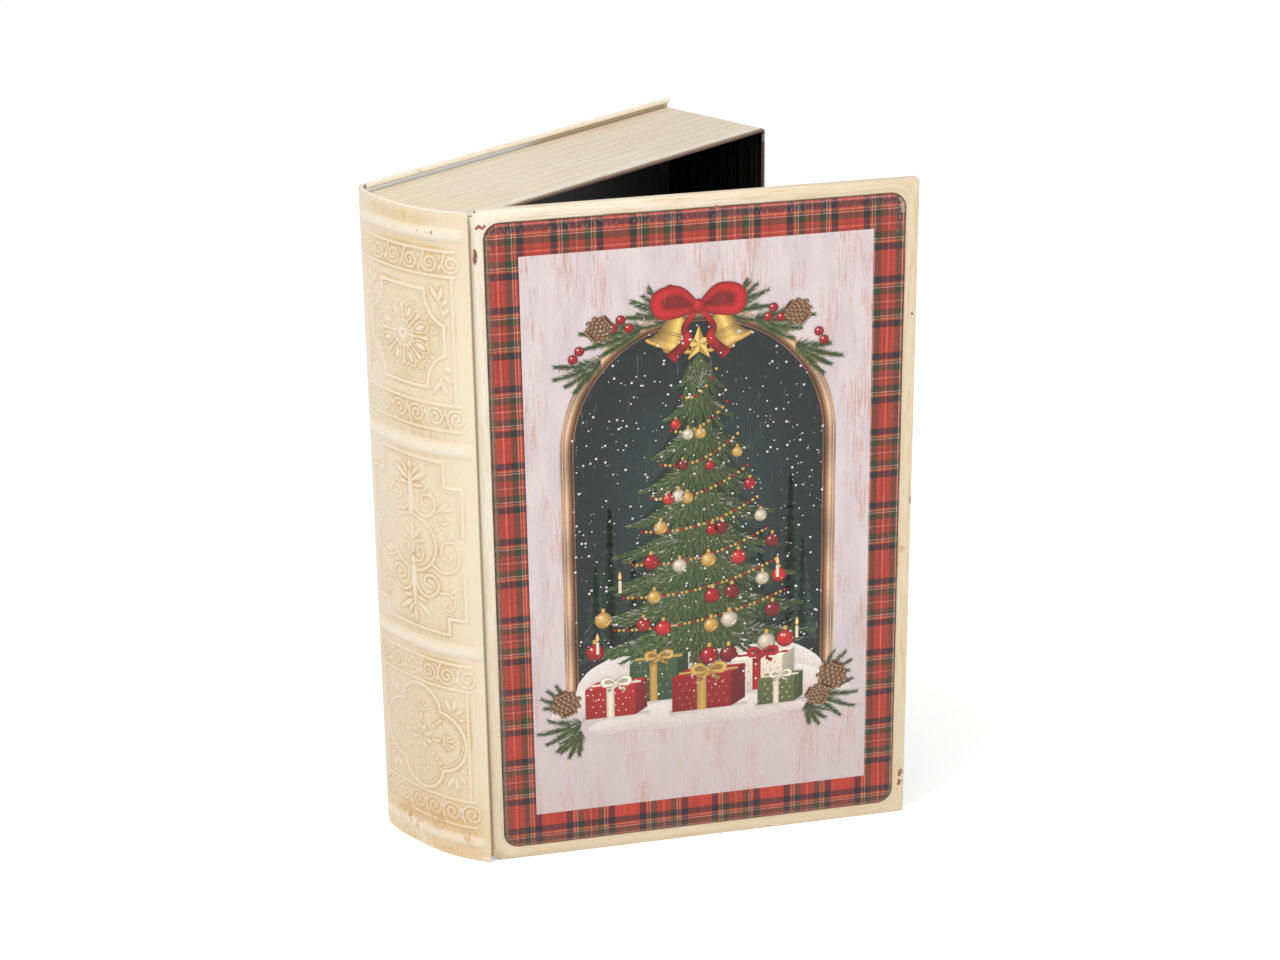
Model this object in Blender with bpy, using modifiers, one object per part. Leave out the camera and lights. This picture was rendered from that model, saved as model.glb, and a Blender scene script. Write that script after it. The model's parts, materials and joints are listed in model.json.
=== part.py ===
# Book-shaped tin box, standing on its tail with the lid part open.
#
# The case is one folded tinplate blank for spine and back, with a folded band for the page
# edges inside it. The lid is a shallow pan with a raised picture panel. Its hinge edge is
# curled round a steel wire, and four tinplate straps tie that wire to the spine.

import math

import bmesh
import bpy
from mathutils import Vector

# Driving dimensions, in metres
CASE_HEIGHT = 0.270
CASE_THICKNESS = 0.0589
CASE_REACH = 0.1671
LID_REACH = 0.1704
LID_OPEN = math.radians(34.2)
SHEET = 0.00035
SEAT_GAP = 0.0003

# Hinge
BARREL_RADIUS = 0.0017
BARREL_END = 0.0021
CURL_STOP = math.radians(20)
LIP_STOP = math.radians(234)
WIRE_RADIUS = 0.00055
WIRE_GAP = 0.00025
STRAP_SHEET = 0.0003
STRAP_WIDTH = 0.007
END_STRAP = 0.015
STRAP_COUNT = 4
STRAP_GRIP = 0.007
WINDOW_GAP = 0.0005
SPINE_GAP = 0.0006

# Spine and back
SPINE_RADIUS = 0.058
BACK_CORNER = 0.0025
HEM_SLOT = 0.00025
HEAD_HEM = 0.0022
FRONT_HEM = 0.0030
HEM_MARGIN = 0.0045
ROLL_RADIUS = 0.0011
ROLL_TURN = math.radians(290)
ROLL_SLIT = 0.0008
BAND_RISE = 0.0009
BAND_FADE = 0.004

# Page-edge band
PAGE_SET = 0.0038
PAGE_CORNER = 0.0015
PAGE_FLANGE = 0.006
FLANGE_BEND = 0.0005
RIM_RADIUS = 0.00075
RIM_CLEARANCE = 0.0003
GROOVE_PITCH = 0.0048
GROOVE_WIDTH = 0.0011
GROOVE_DEPTH = 0.00025

# Lid
LID_DEPTH = 0.004
LID_FLANGE = 0.005
LID_CORNER = 0.0015
EDGE_ROUND = 0.0006
PANEL_INSET = (0.0041, 0.0052, 0.0053, 0.0051)
PANEL_CORNER = 0.0062
PANEL_RISE = 0.0006
PANEL_GROOVE = 0.0003
SIDE_SPARE = 0.001

# Ornament of the spine, drawn on a grid of so many units over the spine's height and width
DRAWN_HEIGHT = 270
DRAWN_WIDTH = 60.8
LINE_WIDTH = 0.0012
LINE_RISE = 0.00045
LINE_ROOT = 0.0002
HIGHEST_RISE = 0.00065
LONGEST_STEP = 6.2
DISC_STEP = 0.5
BAND_CENTRES = (9.3, 93.9, 177.8, 261.3)
BAND_WIDTHS = (4.6, 5.6, 5.4, 4.4)
SCROLL_ROWS = ((15.5, 25.2, 1), (76.0, 86.2, -1), (184.1, 194.9, 1), (243.9, 255.2, -1))

ARC_STEPS = 10
CORNER_STEPS = 3
ROLL_STEPS = 8

# Sizes that follow from the ones above
HEM_RADIUS = SHEET + HEM_SLOT / 2
HINGE_Y = BARREL_RADIUS - CASE_THICKNESS / 2
STANDOFF = BARREL_RADIUS + SPINE_GAP + 2 * HEM_RADIUS
SPINE_CENTRE_X = math.sqrt((SPINE_RADIUS - STANDOFF) ** 2 - HINGE_Y ** 2)
FRONT_ANGLE = -math.asin((CASE_THICKNESS / 2 - HEM_RADIUS) / SPINE_RADIUS)
CORNER_Y = CASE_THICKNESS / 2 - BACK_CORNER
CORNER_ANGLE = math.asin(CORNER_Y / (SPINE_RADIUS - BACK_CORNER))
CORNER_X = SPINE_CENTRE_X - (SPINE_RADIUS - BACK_CORNER) * math.cos(CORNER_ANGLE)
RIM_Y = HINGE_Y - BARREL_RADIUS + LID_DEPTH + RIM_CLEARANCE
FLANGE_Y = CASE_THICKNESS / 2 - SHEET - SEAT_GAP
STRAP_PITCH = (CASE_HEIGHT - 2 * END_STRAP) / (STRAP_COUNT - 1)
UNIT = CASE_HEIGHT / DRAWN_HEIGHT
SPINE_LEFT = SPINE_CENTRE_X - SPINE_RADIUS - BAND_RISE
LID_TIP_Y = HINGE_Y - LID_REACH * math.sin(LID_OPEN) - BARREL_RADIUS * math.cos(LID_OPEN)
FOOT_CENTRE_X = (SPINE_LEFT + CASE_REACH) / 2
FOOT_CENTRE_Y = (CASE_THICKNESS / 2 + LID_TIP_Y) / 2


def clear_scene():
    for old in list(bpy.data.objects):
        bpy.data.objects.remove(old, do_unlink=True)


def new_collection(name):
    group = bpy.data.collections.new(name)
    bpy.context.scene.collection.children.link(group)
    return group


def paint(name, colour, roughness, metallic):
    material = bpy.data.materials.new(name)
    material.use_nodes = True
    shader = material.node_tree.nodes["Principled BSDF"]
    shader.inputs["Base Color"].default_value = (*colour, 1)
    shader.inputs["Roughness"].default_value = roughness
    shader.inputs["Metallic"].default_value = metallic
    return material


def carry_on(bm, chain, targets, closed=False):
    """Extrude a chain of vertices, move the copies to targets and return them in order."""
    pairs = list(zip(chain, chain[1:]))
    if closed:
        pairs.append((chain[-1], chain[0]))
    edges = [bm.edges.get(pair) for pair in pairs]
    made = bmesh.ops.extrude_edge_only(bm, edges=edges)["geom"]
    old = set(chain)
    copies = {}
    for item in made:
        if isinstance(item, bmesh.types.BMVert):
            source = next(edge.other_vert(item) for edge in item.link_edges if edge.other_vert(item) in old)
            copies[source] = item
    fresh = [copies[vertex] for vertex in chain]
    for vertex, target in zip(fresh, targets):
        vertex.co = target
    return fresh


def first_chain(bm, points):
    chain = [bm.verts.new(point) for point in points]
    for pair in zip(chain, chain[1:]):
        bm.edges.new(pair)
    return chain


def sheet_object(name, bm, outward, thickness, offset, material, group, parent):
    """Make an object of an open sheet; outward is the way that its first face looks."""
    bmesh.ops.recalc_face_normals(bm, faces=bm.faces)
    bm.normal_update()
    bm.faces.ensure_lookup_table()
    if bm.faces[0].normal.dot(Vector(outward)) < 0:
        bmesh.ops.reverse_faces(bm, faces=bm.faces)
    mesh = bpy.data.meshes.new(name)
    bm.to_mesh(mesh)
    bm.free()
    mesh.shade_smooth()
    mesh.set_sharp_from_angle(angle=math.radians(40))
    mesh.materials.append(material)
    piece = bpy.data.objects.new(name, mesh)
    piece.parent = parent
    group.objects.link(piece)
    wall = piece.modifiers.new("wall", "SOLIDIFY")
    wall.thickness = thickness
    wall.offset = offset
    wall.use_even_offset = True
    return piece


def spine_stations():
    """Plan of the case's outside: place and inward direction, spine front to fore-edge."""
    stations = []
    for step in range(ARC_STEPS + 1):
        angle = FRONT_ANGLE + (CORNER_ANGLE - FRONT_ANGLE) * step / ARC_STEPS
        inward = Vector((math.cos(angle), -math.sin(angle), 0))
        centre = Vector((SPINE_CENTRE_X, 0, 0))
        stations.append((centre - inward * SPINE_RADIUS, inward))
    for step in range(1, CORNER_STEPS + 1):
        angle = CORNER_ANGLE + (math.pi / 2 - CORNER_ANGLE) * step / CORNER_STEPS
        inward = Vector((math.cos(angle), -math.sin(angle), 0))
        centre = Vector((CORNER_X, CORNER_Y, 0))
        stations.append((centre - inward * BACK_CORNER, inward))
    for x in (CORNER_X + ROLL_SLIT, CASE_REACH):
        stations.append((Vector((x, CASE_THICKNESS / 2, 0)), Vector((0, -1, 0))))
    return stations


def drawn_to_height(down):
    """Height above the tail of a line that is drawn so many units below the head."""
    return CASE_HEIGHT - down * UNIT


def band_rows():
    """Heights and bulge of the rows that form the raised bands, head to tail."""
    rows = []
    for centre, width in zip(BAND_CENTRES, BAND_WIDTHS):
        for share, rise in ((-0.5, 0), (-0.28, 0.72), (0, 1), (0.28, 0.72), (0.5, 0)):
            rows.append((drawn_to_height(centre + share * width), rise * BAND_RISE))
    return rows


def band_fade(place, inward):
    """Share of the full bulge at a station: none at the front edge and round the back corner."""
    if inward.x < 0.5:
        return 0
    angle = math.atan2(place.y, SPINE_CENTRE_X - place.x)
    ends = min(angle - FRONT_ANGLE, CORNER_ANGLE - angle) * SPINE_RADIUS
    return min(1, max(0, ends / BAND_FADE))


def build_spine_and_back(material, group, parent, tools):
    stations = spine_stations()
    spine_count = ARC_STEPS + CORNER_STEPS + 1
    last = len(stations) - 1
    up = Vector((0, 0, 1))
    bm = bmesh.new()

    def edge_round(index):
        return HEM_RADIUS if index < spine_count else ROLL_RADIUS

    def row(height, bulge):
        return [place - inward * bulge * band_fade(place, inward) + up * height
                for place, inward in stations]

    head = [place + up * (CASE_HEIGHT - edge_round(i)) for i, (place, inward) in enumerate(stations)]
    tail = [place + up * edge_round(i) for i, (place, inward) in enumerate(stations)]
    heights = [(CASE_HEIGHT - HEM_MARGIN, 0)] + band_rows() + [(HEM_MARGIN, 0)]
    top = first_chain(bm, head)
    rows = [top]
    for height, bulge in heights:
        rows.append(carry_on(bm, rows[-1], row(height, bulge)))
    bottom = carry_on(bm, rows[-1], tail)

    for edge, way in ((top, 1), (bottom, -1)):
        base = [vertex.co.copy() for vertex in edge]
        chain = edge[:spine_count]
        for step in range(1, 5):
            turn = math.pi * step / 4
            chain = carry_on(bm, chain, [
                base[i] + stations[i][1] * HEM_RADIUS * (1 - math.cos(turn))
                + up * way * HEM_RADIUS * math.sin(turn) for i in range(spine_count)])
        carry_on(bm, chain, [vertex.co - up * way * HEAD_HEM for vertex in chain])
        chain = edge[spine_count:]
        for step in range(1, ROLL_STEPS + 1):
            turn = ROLL_TURN * step / ROLL_STEPS
            chain = carry_on(bm, chain, [
                base[i] + stations[i][1] * ROLL_RADIUS * (1 - math.cos(turn))
                + up * way * ROLL_RADIUS * math.sin(turn) for i in range(spine_count, last + 1)])

    forward = Vector((math.sin(FRONT_ANGLE) * -1, -math.cos(FRONT_ANGLE), 0))
    inward = stations[0][1]
    chain = [line[0] for line in rows[1:]]
    base = [vertex.co.copy() for vertex in chain]
    for step in range(1, 5):
        turn = math.pi * step / 4
        chain = carry_on(bm, chain, [
            point + inward * HEM_RADIUS * (1 - math.cos(turn)) + forward * HEM_RADIUS * math.sin(turn)
            for point in base])
    carry_on(bm, chain, [vertex.co - forward * FRONT_HEM for vertex in chain])

    piece = sheet_object("spine_and_back", bm, stations[0][1] * -1, SHEET, -1, material, group, parent)
    for tool in tools:
        union = piece.modifiers.new("embossing", "BOOLEAN")
        union.operation = "UNION"
        union.solver = "MANIFOLD"
        union.object = tool
    return piece


def spread(points, closed=False):
    """Add points so that no step is longer than the facets of the curved spine."""
    result = []
    pairs = list(zip(points, points[1:]))
    if closed:
        pairs.append((points[-1], points[0]))
    for (u0, t0), (u1, t1) in pairs:
        count = max(1, math.ceil(abs(u1 - u0) / LONGEST_STEP))
        result += [(u0 + (u1 - u0) * k / count, t0 + (t1 - t0) * k / count) for k in range(count)]
    if not closed:
        result.append(points[-1])
    return result


def curl(points, weight):
    """A stroke along a Catmull-Rom curve through the points."""
    ends = [points[0]] + list(points) + [points[-1]]
    result = []
    for k in range(1, len(ends) - 2):
        a, b, c, d = ends[k - 1:k + 3]
        for s in (0, 0.5):
            result.append(tuple(
                0.5 * (2 * b[n] + (c[n] - a[n]) * s + (2 * a[n] - 5 * b[n] + 4 * c[n] - d[n]) * s * s
                       + (3 * b[n] - a[n] - 3 * c[n] + d[n]) * s ** 3) for n in (0, 1)))
    result.append(points[-1])
    return result, [weight] * len(result), False


def line(points, weight=1.0, closed=False):
    points = spread(points, closed)
    return points, [weight] * len(points), closed


def leaf(base, tip, weight=1.6):
    """A lens-shaped leaf from its base to its tip."""
    shares = ((0, 0.35), (0.5, 1), (1, 0.2))
    points = [(base[0] + (tip[0] - base[0]) * s, base[1] + (tip[1] - base[1]) * s) for s, w in shares]
    return points, [weight * w for s, w in shares], False


def mirrored(stroke, flip_u, flip_t, centre):
    points, weights, closed = stroke
    return [(u * flip_u, centre + (t - centre) * flip_t) for u, t in points], weights, closed


def all_corners(strokes, centre):
    return [mirrored(stroke, fu, ft, centre) for stroke in strokes for fu in (1, -1) for ft in (1, -1)]


def both_sides(strokes):
    return [mirrored(stroke, side, 1, 0) for stroke in strokes for side in (1, -1)]


def turned(stroke, centre, angle):
    points, weights, closed = stroke
    cos, sin = math.cos(angle), math.sin(angle)
    return [(u * cos - t * sin, centre + u * sin + t * cos) for u, t in points], weights, closed


def scroll_row(upper, lower, way):
    """Two border lines with six running spirals between them."""
    strokes = [line([(-24.6, upper), (24.6, upper)]), line([(-24.6, lower), (24.6, lower)])]
    centre = (upper + lower) / 2
    reach = (lower - upper) / 2 - 1.2
    for k in range(6):
        middle = 23.2 - 9.0 * k
        points = [(middle - reach + 0.9, centre - way * (reach + 0.9))]
        for step in range(8):
            turn = math.pi + step / 7 * 2.5 * math.pi
            radius = reach * (1 - 0.62 * step / 7)
            points.append((middle + radius * math.cos(turn), centre - way * radius * math.sin(turn)))
        strokes.append((points, [0.75] * len(points), False))
        if k < 5:
            strokes.append(leaf((middle - 4.6, centre + way * 0.6), (middle - 5.0, centre + way * 3.1), 0.9))
    return strokes


def notched_frame(centre):
    """The frame of the head panel, with four hollow corners."""
    corner = []
    for step in range(5):
        turn = math.radians(79) * step / 4
        corner.append((21.5 - 10.3 * math.cos(turn), centre - 19.3 + 13.6 * math.sin(turn)))
    right = corner + [(u, 2 * centre - t) for u, t in reversed(corner)]
    return line(right + [(-u, t) for u, t in reversed(right)], 1.25, True)


def quatrefoil_frame(centre):
    """The frame of the tail panel: four round lobes that meet in cusps."""
    points = []
    lobes = ((8.55, 0, 13.25, 81.6, 0), (0, 12.3, 10.5, 85.6, 90),
             (-8.55, 0, 13.25, 81.6, 180), (0, -12.3, 10.5, 85.6, 270))
    for u0, t0, radius, spread_angle, middle in lobes:
        for step in range(7):
            turn = math.radians(middle - spread_angle + 2 * spread_angle * step / 7)
            points.append((u0 + radius * math.cos(turn), centre + t0 + radius * math.sin(turn)))
    return line(points, 1.25, True)


def ring(radius, centre, steps, weight):
    points = [(radius * math.cos(2 * math.pi * k / steps), centre + radius * math.sin(2 * math.pi * k / steps))
              for k in range(steps)]
    return points, [weight] * steps, True


def head_panel():
    centre = 50.4
    strokes = [notched_frame(centre), ring(1.5, centre, 6, 1.4), ring(4.3, centre, 10, 0.9)]
    for k in range(8):
        angle = math.pi / 4 * k
        strokes.append(turned(([(5.4, 0), (11.2, 0)], [0.5, 1.5], False), centre, angle))
        strokes.append(turned(leaf((6.2, 0), (12.6, 0), 2.6), centre, angle + math.pi / 8))
    strokes += all_corners([leaf((18.3, 35.6), (13.4, 28.4)), leaf((18.0, 34.4), (19.6, 28.6)),
                            leaf((18.6, 36.8), (22.0, 33.4), 1.3), leaf((18.9, 40.2), (22.2, 37.6), 1.3)], centre)
    return strokes + [line([(side * 23.3, 25.2), (side * 23.3, 76.0)]) for side in (1, -1)]


def middle_panel():
    """A stepped frame round an arabesque of scrolls and leaves, the same on both sides."""
    upper = [(16.5, 99.3), (16.5, 109.6), (24.0, 109.6), (24.0, 129.2)]
    lower = [(16.5, 171.3), (16.5, 164.5), (24.0, 164.5), (24.0, 145.8)]
    frame = [line([(-u, t) for u, t in reversed(half)] + half) for half in (upper, lower)]
    side = [
        leaf((1.2, 109.5), (9.2, 104.6), 1.9),
        leaf((1.4, 111.6), (7.0, 110.8), 1.3),
        curl([(1.0, 119.4), (3.6, 122.4), (8.0, 123.2), (12.0, 119.2), (8.6, 114.2), (5.7, 117.2),
                 (8.2, 119.0)], 1.0),
        leaf((9.9, 115.0), (10.3, 111.4), 1.3),
        curl([(12.4, 120.6), (14.6, 119.6), (16.9, 121.0), (17.0, 124.2), (14.6, 124.8)], 0.8),
        leaf((13.4, 119.6), (18.8, 115.4), 1.5),
        curl([(1.4, 124.0), (6.5, 125.6), (10.2, 129.4), (11.8, 135.0), (10.2, 141.2), (6.0, 145.6),
                 (1.4, 147.4)], 1.0),
        leaf((0.9, 133.6), (4.8, 128.4), 1.5),
        curl([(0.8, 143.2), (3.9, 142.4), (5.6, 138.6), (3.0, 136.6)], 0.8),
        curl([(10.0, 143.0), (14.4, 145.4), (20.4, 143.4), (22.7, 137.6), (20.0, 132.2), (15.2, 133.2),
                 (14.4, 138.4), (17.6, 140.2)], 0.9),
        leaf((17.6, 131.4), (19.6, 127.2), 1.3),
        curl([(1.2, 152.4), (3.4, 156.2), (8.0, 157.2), (12.4, 152.6), (8.8, 148.0), (5.4, 150.8),
                 (8.0, 152.6)], 1.0),
        curl([(12.4, 154.4), (16.8, 154.2), (19.6, 157.6), (17.0, 161.4), (14.4, 159.6)], 0.8),
        leaf((17.6, 154.0), (20.6, 151.2), 1.2),
        leaf((1.6, 158.6), (7.0, 159.8), 1.3),
        leaf((1.4, 160.6), (9.0, 166.0), 1.9),
    ]
    stem = [leaf((0, 105.0), (0, 100.2), 1.5), leaf((0, 163.4), (0, 170.4), 1.6),
            ([(0, 106.0), (0, 112.0), (0, 122.6)], [1.0, 2.2, 2.6], False),
            ([(0, 146.6), (0, 153.0), (0, 162.4)], [2.4, 2.4, 1.0], False),
            leaf((0, 134.8), (0, 126.0), 1.8), ([(0, 136.6), (0, 144.4)], [1.0, 1.6], False)]
    return frame + both_sides(side) + stem


def tail_panel():
    centre = 219.4
    strokes = [quatrefoil_frame(centre), ring(1.5, centre, 6, 0.8)]
    for k in range(8):
        strokes.append(turned(leaf((3.0, 0), (5.8, 0), 1.5), centre, math.pi / 8 + math.pi / 4 * k))
    for k in range(4):
        angle = math.pi / 2 * k
        for distance in (8.6, 11.6):
            strokes.append(turned(([(distance, 0), (distance + 0.9, 0)], [1.3, 1.3], False), centre,
                                  angle + math.radians(48)))
        strokes.append(turned(leaf((7.8, 0), (11.2, 0), 1.1), centre, angle))
        for finger in (-48, 0, 48):
            turn = math.radians(finger)
            length = 4.6 - abs(finger) / 40
            start = (11.8 + 0.6 * math.cos(turn), 0.9 * math.sin(turn))
            strokes.append(turned(([start, (11.8 + length * math.cos(turn), length * math.sin(turn))],
                                   [0.5, 0.9], False), centre, angle))
    strokes += all_corners([leaf((15.9, 205.2), (12.2, 199.0)), leaf((16.6, 204.4), (17.4, 198.6)),
                            leaf((17.8, 205.8), (21.2, 202.6), 1.3)], centre)
    return strokes + [line([(side * 22.9, 194.9), (side * 22.9, 243.9)]) for side in (1, -1)]


def ornament_strokes():
    strokes = []
    for upper, lower, way in SCROLL_ROWS:
        strokes += scroll_row(upper, lower, way)
    return strokes + head_panel() + middle_panel() + tail_panel()


def stroke_reach(stroke):
    """Discs that cover a stroke: place and half width, close together along it."""
    points, weights, closed = stroke
    pairs = list(zip(points, points[1:], weights, weights[1:]))
    if closed:
        pairs.append((points[-1], points[0], weights[-1], weights[0]))
    discs = []
    for (u0, t0), (u1, t1), w0, w1 in pairs:
        count = max(1, math.ceil(math.dist((u0, t0), (u1, t1)) / DISC_STEP))
        half = max(w0, w1) * LINE_WIDTH / UNIT / 2 + DISC_STEP / 2
        discs += [(u0 + (u1 - u0) * k / count, t0 + (t1 - t0) * k / count, half) for k in range(count + 1)]
    return discs


def reach_box(discs):
    return (min(u - r for u, t, r in discs), min(t - r for u, t, r in discs),
            max(u + r for u, t, r in discs), max(t + r for u, t, r in discs))


def strokes_meet(first, second):
    discs_a, box_a = first
    discs_b, box_b = second
    if box_a[0] > box_b[2] or box_b[0] > box_a[2] or box_a[1] > box_b[3] or box_b[1] > box_a[3]:
        return False
    return any(math.hypot(ua - ub, ta - tb) < ra + rb for ua, ta, ra in discs_a for ub, tb, rb in discs_b)


def stroke_layers():
    """Sort the strokes into layers, so that no two strokes of one layer meet."""
    layers = []
    for stroke in ornament_strokes():
        discs = stroke_reach(stroke)
        reach = (discs, reach_box(discs))
        for layer in layers:
            if not any(strokes_meet(reach, other) for other, kept in layer):
                layer.append((reach, stroke))
                break
        else:
            layers.append([(reach, stroke)])
    return [[stroke for reach, stroke in layer] for layer in layers]


def ridge_profile(group):
    """Cross-section of every embossed line: a ridge with its root inside the sheet."""
    profile = bpy.data.curves.new("ridge_profile", "CURVE")
    profile.dimensions = "2D"
    ridge = profile.splines.new("POLY")
    ridge.points.add(2)
    half = LINE_WIDTH / 2
    for point, (across, height) in zip(ridge.points, ((-half, -LINE_ROOT), (half, -LINE_ROOT), (0, LINE_RISE))):
        point.co = (across, height, 0, 1)
    ridge.use_cyclic_u = True
    holder = bpy.data.objects.new("ridge_profile", profile)
    group.objects.link(holder)
    return holder


def flat_drawing(name, strokes, profile, group):
    """The strokes drawn flat as curves with the ridge as their bevel, made a mesh."""
    drawing = bpy.data.curves.new(name, "CURVE")
    drawing.dimensions = "2D"
    drawing.fill_mode = "NONE"
    drawing.bevel_mode = "OBJECT"
    drawing.bevel_object = profile
    drawing.use_fill_caps = True
    for points, weights, closed in strokes:
        spline = drawing.splines.new("POLY")
        spline.points.add(len(points) - 1)
        for point, (u, t), weight in zip(spline.points, points, weights):
            point.co = (u * UNIT, -t * UNIT, 0, 1)
            point.radius = weight
        spline.use_cyclic_u = closed
    flat = bpy.data.objects.new(name, drawing)
    group.objects.link(flat)
    bpy.context.view_layer.update()
    mesh = bpy.data.meshes.new_from_object(flat.evaluated_get(bpy.context.evaluated_depsgraph_get()))
    bpy.data.objects.remove(flat)
    return mesh


def shell_of(start):
    """All faces that hang together with the first one."""
    shell = {start}
    waiting = [start]
    while waiting:
        for edge in waiting.pop().edges:
            for face in edge.link_faces:
                if face not in shell:
                    shell.add(face)
                    waiting.append(face)
    return shell


def face_outward(bm):
    """Turn every closed shell of the mesh so that its faces look outward."""
    bmesh.ops.triangulate(bm, faces=bm.faces)
    bmesh.ops.recalc_face_normals(bm, faces=bm.faces)
    left = set(bm.faces)
    while left:
        shell = shell_of(left.pop())
        left -= shell
        corners = [[loop.vert.co for loop in face.loops] for face in shell]
        if sum(a.dot(b.cross(c)) for a, b, c in corners) < 0:
            bmesh.ops.reverse_faces(bm, faces=list(shell))


def build_ornament(group, parent):
    """The embossed lines, drawn flat and then laid on the arc of the spine, a tool for each layer."""
    profile = ridge_profile(group)
    stretch = 2 * abs(FRONT_ANGLE) / (DRAWN_WIDTH * UNIT)
    tools = []
    for number, strokes in enumerate(stroke_layers(), start=1):
        name = f"spine_ornament_{number}"
        mesh = flat_drawing(name, strokes, profile, group)
        bm = bmesh.new()
        bm.from_mesh(mesh)
        bmesh.ops.remove_doubles(bm, verts=bm.verts, dist=0.00001)
        for vertex in bm.verts:
            height = -LINE_ROOT if vertex.co.z < 0 else min(vertex.co.z, HIGHEST_RISE)
            angle = -vertex.co.x * stretch
            radius = SPINE_RADIUS + height
            vertex.co = (SPINE_CENTRE_X - radius * math.cos(angle), radius * math.sin(angle),
                         CASE_HEIGHT + vertex.co.y)
        face_outward(bm)
        bm.to_mesh(mesh)
        bm.free()
        tool = bpy.data.objects.new(name, mesh)
        tool.parent = parent
        tool.hide_render = True
        tool.display_type = "WIRE"
        group.objects.link(tool)
        tools.append(tool)
    bpy.data.objects.remove(profile)
    return tools


def wall_end_x(y):
    """Where a page wall ends in X, one seat gap short of the spine's inside."""
    radius = SPINE_RADIUS - SHEET - SEAT_GAP
    if y < CORNER_Y * radius / (SPINE_RADIUS - BACK_CORNER):
        return SPINE_CENTRE_X - math.sqrt(radius ** 2 - y ** 2)
    radius = BACK_CORNER - SHEET - SEAT_GAP
    return CORNER_X - math.sqrt(max(0, radius ** 2 - (y - CORNER_Y) ** 2))


def page_row(inset, y):
    """One line round the page edges, so far inside their outer face."""
    low = PAGE_SET + inset
    high = CASE_HEIGHT - PAGE_SET - inset
    side = CASE_REACH - inset
    radius = max(PAGE_CORNER - inset, SHEET)
    points = [Vector((wall_end_x(y), y, high))]
    for centre_z, start in ((high - radius, 90), (low + radius, 0)):
        for step in range(4):
            turn = math.radians(start - 30 * step)
            points.append(Vector((side - radius + radius * math.cos(turn), y, centre_z + radius * math.sin(turn))))
    points.append(Vector((wall_end_x(y), y, low)))
    return points


def build_page_edges(material, group, parent):
    profile = [(PAGE_FLANGE, FLANGE_Y), (FLANGE_BEND, FLANGE_Y),
               (FLANGE_BEND * 0.3, FLANGE_Y - FLANGE_BEND * 0.3), (0, FLANGE_Y - FLANGE_BEND)]
    first = RIM_Y + RIM_RADIUS
    depth = FLANGE_Y - FLANGE_BEND - first
    count = int(depth / GROOVE_PITCH)
    pitch = depth / count
    for k in reversed(range(count)):
        middle = first + (k + 0.5) * pitch
        profile += [(0, middle + GROOVE_WIDTH / 2), (GROOVE_DEPTH, middle), (0, middle - GROOVE_WIDTH / 2)]
    for step in range(7):
        turn = math.radians(45 * step)
        profile.append((RIM_RADIUS * (1 - math.cos(turn)), first - RIM_RADIUS * math.sin(turn)))
    bm = bmesh.new()
    chain = first_chain(bm, page_row(*profile[0]))
    for inset, y in profile[1:]:
        chain = carry_on(bm, chain, page_row(inset, y))
    return sheet_object("page_edges", bm, (0, 1, 0), SHEET, -1, material, group, parent)


def strap_windows():
    """Lower and upper end of each gap that the barrel leaves for a strap."""
    half = STRAP_WIDTH / 2 + WINDOW_GAP
    return [(END_STRAP + STRAP_PITCH * k - half, END_STRAP + STRAP_PITCH * k + half)
            for k in range(STRAP_COUNT)]


def lid_loop(left, right, bottom, top, corner, depth, windows):
    """A rounded rectangle on the lid, from its upper left corner clockwise and up the hinge side."""
    y = depth - BARREL_RADIUS
    high = CASE_HEIGHT - top
    far = LID_REACH - right
    centres = ((left + corner, high - corner, 180), (far - corner, high - corner, 90),
               (far - corner, bottom + corner, 0), (left + corner, bottom + corner, -90))
    points = []
    for x, z, start in centres:
        for step in range(5):
            turn = math.radians(start - 22.5 * step)
            points.append(Vector((x + corner * math.cos(turn), y, z + corner * math.sin(turn))))
    middle = CASE_HEIGHT / 2
    straight = high - bottom - 2 * corner - 2 * SIDE_SPARE
    squeeze = min(1, straight / (windows[-1][1] - windows[0][0]))
    for window in windows:
        points += [Vector((left, y, middle + (z - middle) * squeeze)) for z in window]
    return points


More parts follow.
